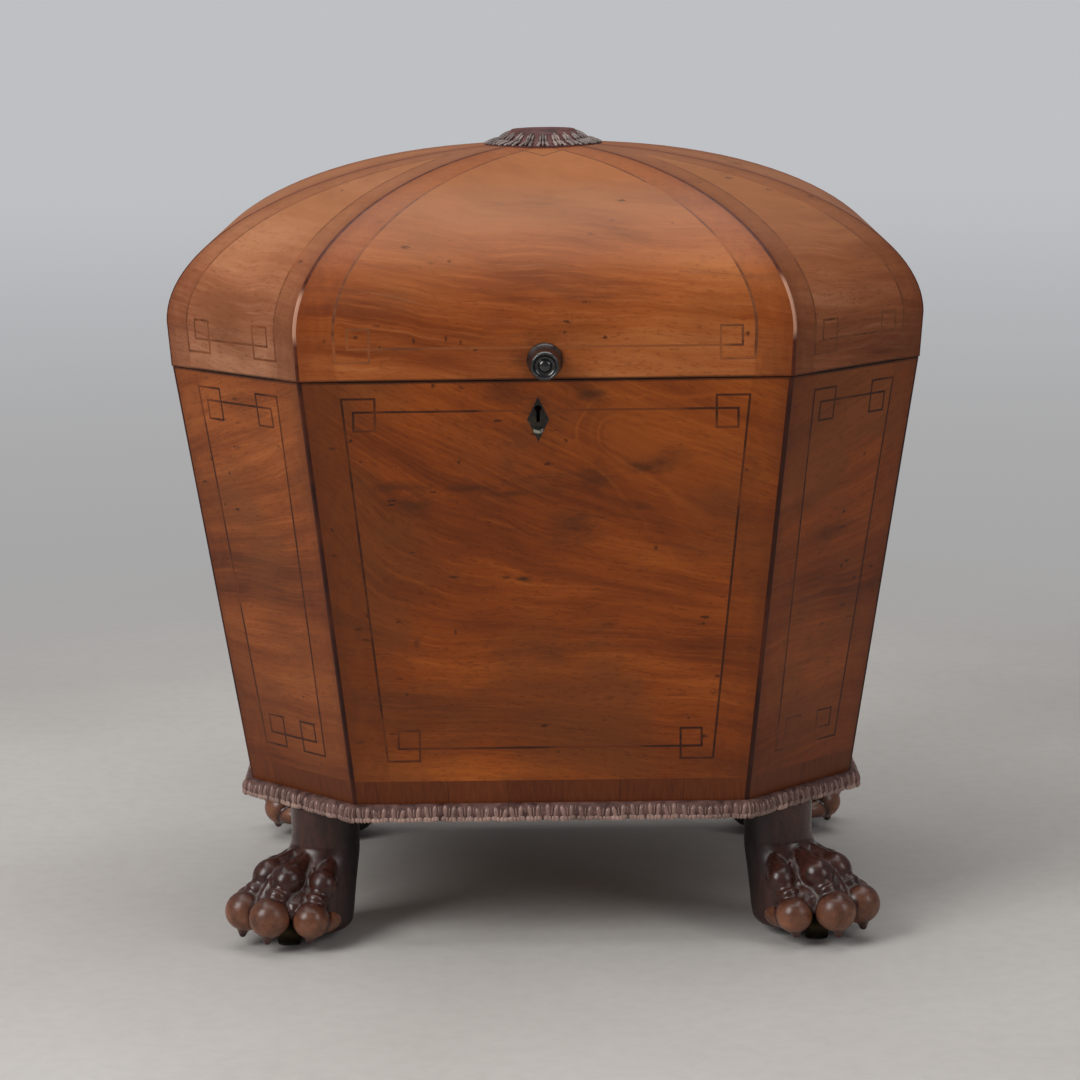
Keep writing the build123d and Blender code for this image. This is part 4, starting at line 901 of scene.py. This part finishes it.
def make_paws():
    """Four carved paws, alike but for the way they face."""
    bm = bmesh.new()
    shank(bm)
    for side in (-1, 1):
        toe(bm, side, *INNER_TOE)
        toe(bm, side, *OUTER_TOE)
        web(bm, side, SIDE_VALLEY)
        ellipsoid(bm, flip(SIDE_PAD[0], side), [r * MM for r in SIDE_PAD[1]])
        for foot, foot_radius, head, head_radius in TENDONS:
            link_between(bm, flip(foot, side), foot_radius * MM, flip(head, side), head_radius * MM)
    web(bm, 1, MIDDLE_VALLEY)
    hollow = bmesh.new()
    bmesh.ops.create_cone(
        hollow, cap_ends=True, segments=64, radius1=CASTOR_HOLLOW * MM, radius2=CASTOR_HOLLOW * MM,
        depth=castor_ceiling * 2, matrix=Matrix.Translation((CASTOR_PLACE * MM, 0, 0)),
    )
    pattern = as_mesh("paw_pattern", cut_away(fused(bm), hollow))
    place = mark_carving(pattern, 1.6)
    store(pattern, "wear_and_highlight_share", ball_share(place))
    # Ridges above the toes take the pale tone, partly a painted highlight
    store(pattern, "ridged", np.clip((place[:, 2] - 24 * MM) / (12 * MM), 0, 1))
    # Painted shade on the back and inner side of each paw, away from the front
    store(pattern, "painted_shade", np.clip((-2 * MM - place[:, 0]) / (30 * MM), 0, 1))
    polished(pattern, carved_wood("carved_paw", srgb(30, 14, 11), srgb(70, 38, 31), srgb(148, 94, 66),
                                  srgb(92, 86, 82), 0.5))
    corners = board_corners()
    for corner in FOOT_FACES:
        i = FACES.index(corner)
        middle = (corners[i] + corners[(i + 1) % 8]) / 2
        mesh = pattern.copy()
        mesh.name = f"carved_paw_{corner}"
        turn = Matrix.Rotation(math.radians(45 * i - 90), 4, "Z")
        mesh.transform(Matrix.Translation(middle) @ turn)
        obj = link(bpy.data.objects.new(mesh.name, mesh))
        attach(obj, "case")
        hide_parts(f"paw_foot_{corner}")


# Leaves of the base moulding, in millimetres from one to the next
LEAF_PITCH = 15.4


def leaf_tile():
    """One carved leaf: two long lobes with round tips, a rib between them and a dart beside."""
    bm = bmesh.new()

    def lobe(x, y, z, rx, ry, rz, lean=0.0):
        ellipsoid(bm, Vector((x, y, z)) * MM, (rx * MM, ry * MM, rz * MM),
                  Matrix.Rotation(math.radians(lean), 4, "Y"), 12, 8)

    for side in (-1, 1):
        lobe(side * 3.6, -5.7, 7.4, 3.0, 3.4, 6.3, side * 10)
        lobe(side * 4.8, -6.6, 2.7, 2.9, 2.4, 3.0, side * 26)
        lobe(side * 1.6, -7.0, 2.3, 1.8, 1.9, 2.7, side * 8)
    lobe(0, -6.7, 7.8, 0.9, 2.5, 4.6)
    lobe(LEAF_PITCH / 2, -5.2, 8.2, 0.9, 3.0, 4.6)
    return as_mesh("leaf", bm)


def repeat(bm, pattern, place):
    """Adds one more of a shape to a bmesh, at its place."""
    copy = pattern.copy()
    copy.transform(place)
    bm.from_mesh(copy)
    bpy.data.meshes.remove(copy)


def make_moulding():
    """Leaf carving on the eight lengths of the base moulding."""
    bm = bmesh.new()
    leaf = leaf_tile()
    corners = board_corners()
    for i in range(8):
        start, end = corners[i], corners[(i + 1) % 8]
        run = end - start
        count = round(run.length / (LEAF_PITCH * MM))
        pitch = run.length / count
        facing = Matrix((along(i), -along(i - 2), Vector((0, 0, 1)))).transposed().to_4x4()
        for k in range(count):
            spot = start + run.normalized() * (pitch * (k + 0.5))
            spot.z = moulding_foot
            uneven = math.sin(7.3 * k + 2.1 * i)
            cut = Matrix.Diagonal((1 + 0.07 * uneven, 1, 1 - 0.09 * uneven, 1))
            lean = Matrix.Rotation(0.10 * math.sin(4.1 * k + i), 4, "Y")
            repeat(bm, leaf, Matrix.Translation(spot) @ facing @ lean @ cut)
        corner = Matrix.Translation(Vector((start.x, start.y, moulding_foot)))
        bend = Matrix.Rotation(math.radians(45 * i - 22.5), 4, "Z")
        repeat(bm, leaf, corner @ bend @ Matrix.Diagonal((0.42, 1.06, 1, 1)))
    # Here the pale tone on the proud leaf tips is a painted highlight, and the dark tone in the hollows
    # is painted shade
    finish = carved_wood("carved_leaf_moulding", srgb(66, 42, 37), srgb(128, 92, 84),
                         srgb(198, 164, 150), srgb(64, 50, 48))
    obj = finished("moulding_leaves", bm, finish, "case")
    place = mark_carving(obj.data, 0.9, 4)
    # More of the pale tone low on the leaves: a painted highlight on their tips
    store(obj.data, "wear_and_highlight_share", np.clip(1.0 - (place[:, 2] - moulding_foot) / (9 * MM), 0.3, 1))
    ground = dark_wood("moulding_ground", srgb(54, 34, 31), srgb(112, 82, 76), (30, 30, 30), 0.5)
    paint(ground, "base_moulding")


BOSS_LEAVES = 20


def boss_leaf():
    """One leaf of the crown boss: two lobes, a tip on each, and a rib between them."""
    bm = bmesh.new()

    def blade(start, end, width, height):
        low, high = Vector(start) * MM, Vector(end) * MM
        run = high - low
        radii = (run.length / 2, width * MM, height * MM)
        ellipsoid(bm, (low + high) / 2, radii, along_run(run), 12, 8)

    for side in (-1, 1):
        blade((33.0, side * 2.1, -3.6), (41.0, side * 2.6, -9.0), 1.3, 1.3)
        blade((38.5, side * 2.4, -8.8), (52.0, side * 4.0, -11.8), 1.8, 1.4)
        blade((49.0, side * 4.2, -11.5), (54.0, side * 4.5, -12.5), 1.7, 1.5)
    blade((31.0, 0, -1.9), (41.5, 0, -8.6), 1.1, 1.7)
    blade((40.0, 0, -8.4), (53.4, 0, -12.0), 1.2, 1.9)
    return as_mesh("boss_leaf", bm)


def make_boss():
    """Ring of carved leaves on the crown boss."""
    bm = bmesh.new()
    leaf = boss_leaf()
    centre = Vector(((boss_low.x + boss_high.x) / 2, (boss_low.y + boss_high.y) / 2, boss_high.z))
    for k in range(BOSS_LEAVES):
        turn = Matrix.Rotation(2 * math.pi * k / BOSS_LEAVES, 4, "Z")
        repeat(bm, leaf, Matrix.Translation(centre) @ turn)
    # Here the pale tone on the proud parts is a painted highlight, and the dark tone in the hollows is
    # painted shade
    finish = carved_wood("carved_boss_leaves", srgb(40, 27, 24), srgb(76, 56, 52), srgb(138, 120, 113),
                         srgb(38, 29, 27))
    obj = finished("boss_leaves", bm, finish, "lid")
    mark_carving(obj.data, 0.9, 4)
    # Every proud part takes the pale tone: painted highlight
    store(obj.data, "wear_and_highlight_share", np.ones(len(obj.data.vertices)))
    ground = dark_wood("boss_ground", srgb(58, 32, 30), srgb(106, 64, 61), (12, 12, 30), 0.5)
    paint(ground, "lid_crown_boss")


# Turned knob: where it meets the lid, how it leans, and its outline as radius and height in millimetres
KNOB_SEAT = (0, -0.25794, 0.535)
KNOB_LEAN = 0.05993
KNOB_OUTLINE = (
    (0, -3.0), (5.0, -3.0), (5.0, 0.2), (15.5, 0.2), (15.5, 1.6), (15.2, 2.4), (14.6, 3.1), (13.9, 4.2),
    (13.1, 5.8), (12.3, 7.8), (11.7, 10.0), (11.3, 12.2), (11.2, 14.2), (11.5, 16.2), (12.0, 18.4),
    (12.5, 20.6), (12.8, 22.8), (12.7, 24.8), (12.3, 26.4), (11.6, 27.5), (10.8, 27.85), (10.2, 27.6),
    (9.7, 26.8), (9.0, 25.7), (8.1, 24.8), (7.0, 24.3), (6.2, 24.3), (5.6, 24.8), (4.9, 25.7),
    (3.8, 26.4), (2.2, 26.9), (0, 27.0),
)


def make_knob():
    """Turned and blackened knob with a ringed, dished face, on the lid's front."""
    bm = bmesh.new()
    points = [bm.verts.new((radius * MM, 0, height * MM)) for radius, height in KNOB_OUTLINE]
    edges = [bm.edges.new(pair) for pair in zip(points, points[1:])]
    bmesh.ops.spin(bm, geom=points + edges, cent=(0, 0, 0), axis=(0, 0, 1), angle=2 * math.pi,
                   steps=72, use_merge=True)
    facing = Vector((0, -math.cos(KNOB_LEAN), -math.sin(KNOB_LEAN)))
    bm.transform(Matrix.Translation(KNOB_SEAT) @ along_run(facing, "Z", "Y"))
    knob = finished("turned_knob", bm, ebonised(), "lid")
    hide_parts("lid_knob")


BACKDROP = srgb(190, 192, 196)
FLOOR_EDGE = 40
# Lights: place, size and power, all aimed at the middle of the case
LAMPS = {
    "left_softbox": ((-2.3, -1.9, 2.3), (1.6, 2.0), 84),
    "right_softbox": ((2.5, -1.9, 1.9), (1.2, 1.6), 21),
    "overhead": ((0, 0.2, 3.0), (3.2, 2.6), 60),
}
AIM_HEIGHT = 0.35
SKY, SKY_STRENGTH = srgb(182, 184, 188), 0.37


def make_stage():
    """Pale floor that fades, further out, into the plain grey of the backdrop."""
    bm = bmesh.new()
    bmesh.ops.create_circle(bm, cap_ends=True, segments=96, radius=FLOOR_EDGE)
    floor = link(bpy.data.objects.new("floor", as_mesh("floor", bm, False)))
    mat = Recipe("pale_floor")
    cloud = mat.noise(mat.object, 1.6, 5.0, 0.55)
    fine = mat.noise(mat.object, 60.0, 3.0, 0.6)
    mat.base(mat.ramp(cloud, (0.3, srgb(180, 175, 170)), (0.7, srgb(194, 190, 185))))
    mat.tint(mat.ranged(fine, 0.35, 0.7, 0.0, 0.12), srgb(150, 146, 140))
    mat.set(Roughness=0.6, Specular_IOR_Level=0.25)
    away = mat.node("ShaderNodeVectorMath", operation="LENGTH")
    mat.put(away.inputs[0], mat.object)
    tone = mat.ramp(mat.ranged(away.outputs["Value"], 1.0, 9.0),
                    (0.0, srgb(166, 165, 165)), (0.35, srgb(176, 177, 179)), (1.0, BACKDROP))
    glow = mat.node("ShaderNodeEmission")
    mat.put(glow.inputs["Color"], tone)
    seen = mat.node("ShaderNodeLightPath").outputs["Is Camera Ray"]
    share = mat.times(mat.ranged(away.outputs["Value"], 0.75, 1.9), seen)
    mix = mat.node("ShaderNodeMixShader")
    mat.put(mix.inputs[0], share)
    mat.put(mix.inputs[1], mat.shader.outputs[0])
    mat.put(mix.inputs[2], glow.outputs[0])
    mat.put(mat.tree.nodes["Material Output"].inputs["Surface"], mix.outputs[0])
    floor.data.materials.append(mat.material)


def make_light():
    """Three softboxes, a dim sky, and the backdrop's plain grey for the camera alone."""
    world = bpy.data.worlds.new("studio")
    bpy.context.scene.world = world
    world.use_nodes = True
    tree = world.node_tree
    background = tree.nodes["Background"]
    background.inputs["Color"].default_value = (*SKY, 1)
    background.inputs["Strength"].default_value = SKY_STRENGTH
    seen = tree.nodes.new("ShaderNodeBackground")
    seen.inputs["Color"].default_value = (*BACKDROP, 1)
    path = tree.nodes.new("ShaderNodeLightPath")
    mix = tree.nodes.new("ShaderNodeMixShader")
    tree.links.new(path.outputs["Is Camera Ray"], mix.inputs[0])
    tree.links.new(background.outputs[0], mix.inputs[1])
    tree.links.new(seen.outputs[0], mix.inputs[2])
    tree.links.new(mix.outputs[0], tree.nodes["World Output"].inputs["Surface"])
    for name, (place, size, power) in LAMPS.items():
        lamp = bpy.data.lights.new(name, "AREA")
        lamp.shape = "RECTANGLE"
        lamp.size, lamp.size_y = size
        lamp.energy = power
        obj = link(bpy.data.objects.new(name, lamp))
        obj.location = place
        aim = Vector((0, middle_y, AIM_HEIGHT)) - Vector(place)
        obj.rotation_euler = aim.to_track_quat("-Z", "Y").to_euler()
    bpy.context.scene.view_settings.view_transform = "Standard"


make_camera()
finish_kept_solids()
make_paws()
make_moulding()
make_boss()
make_knob()
make_stage()
make_light()
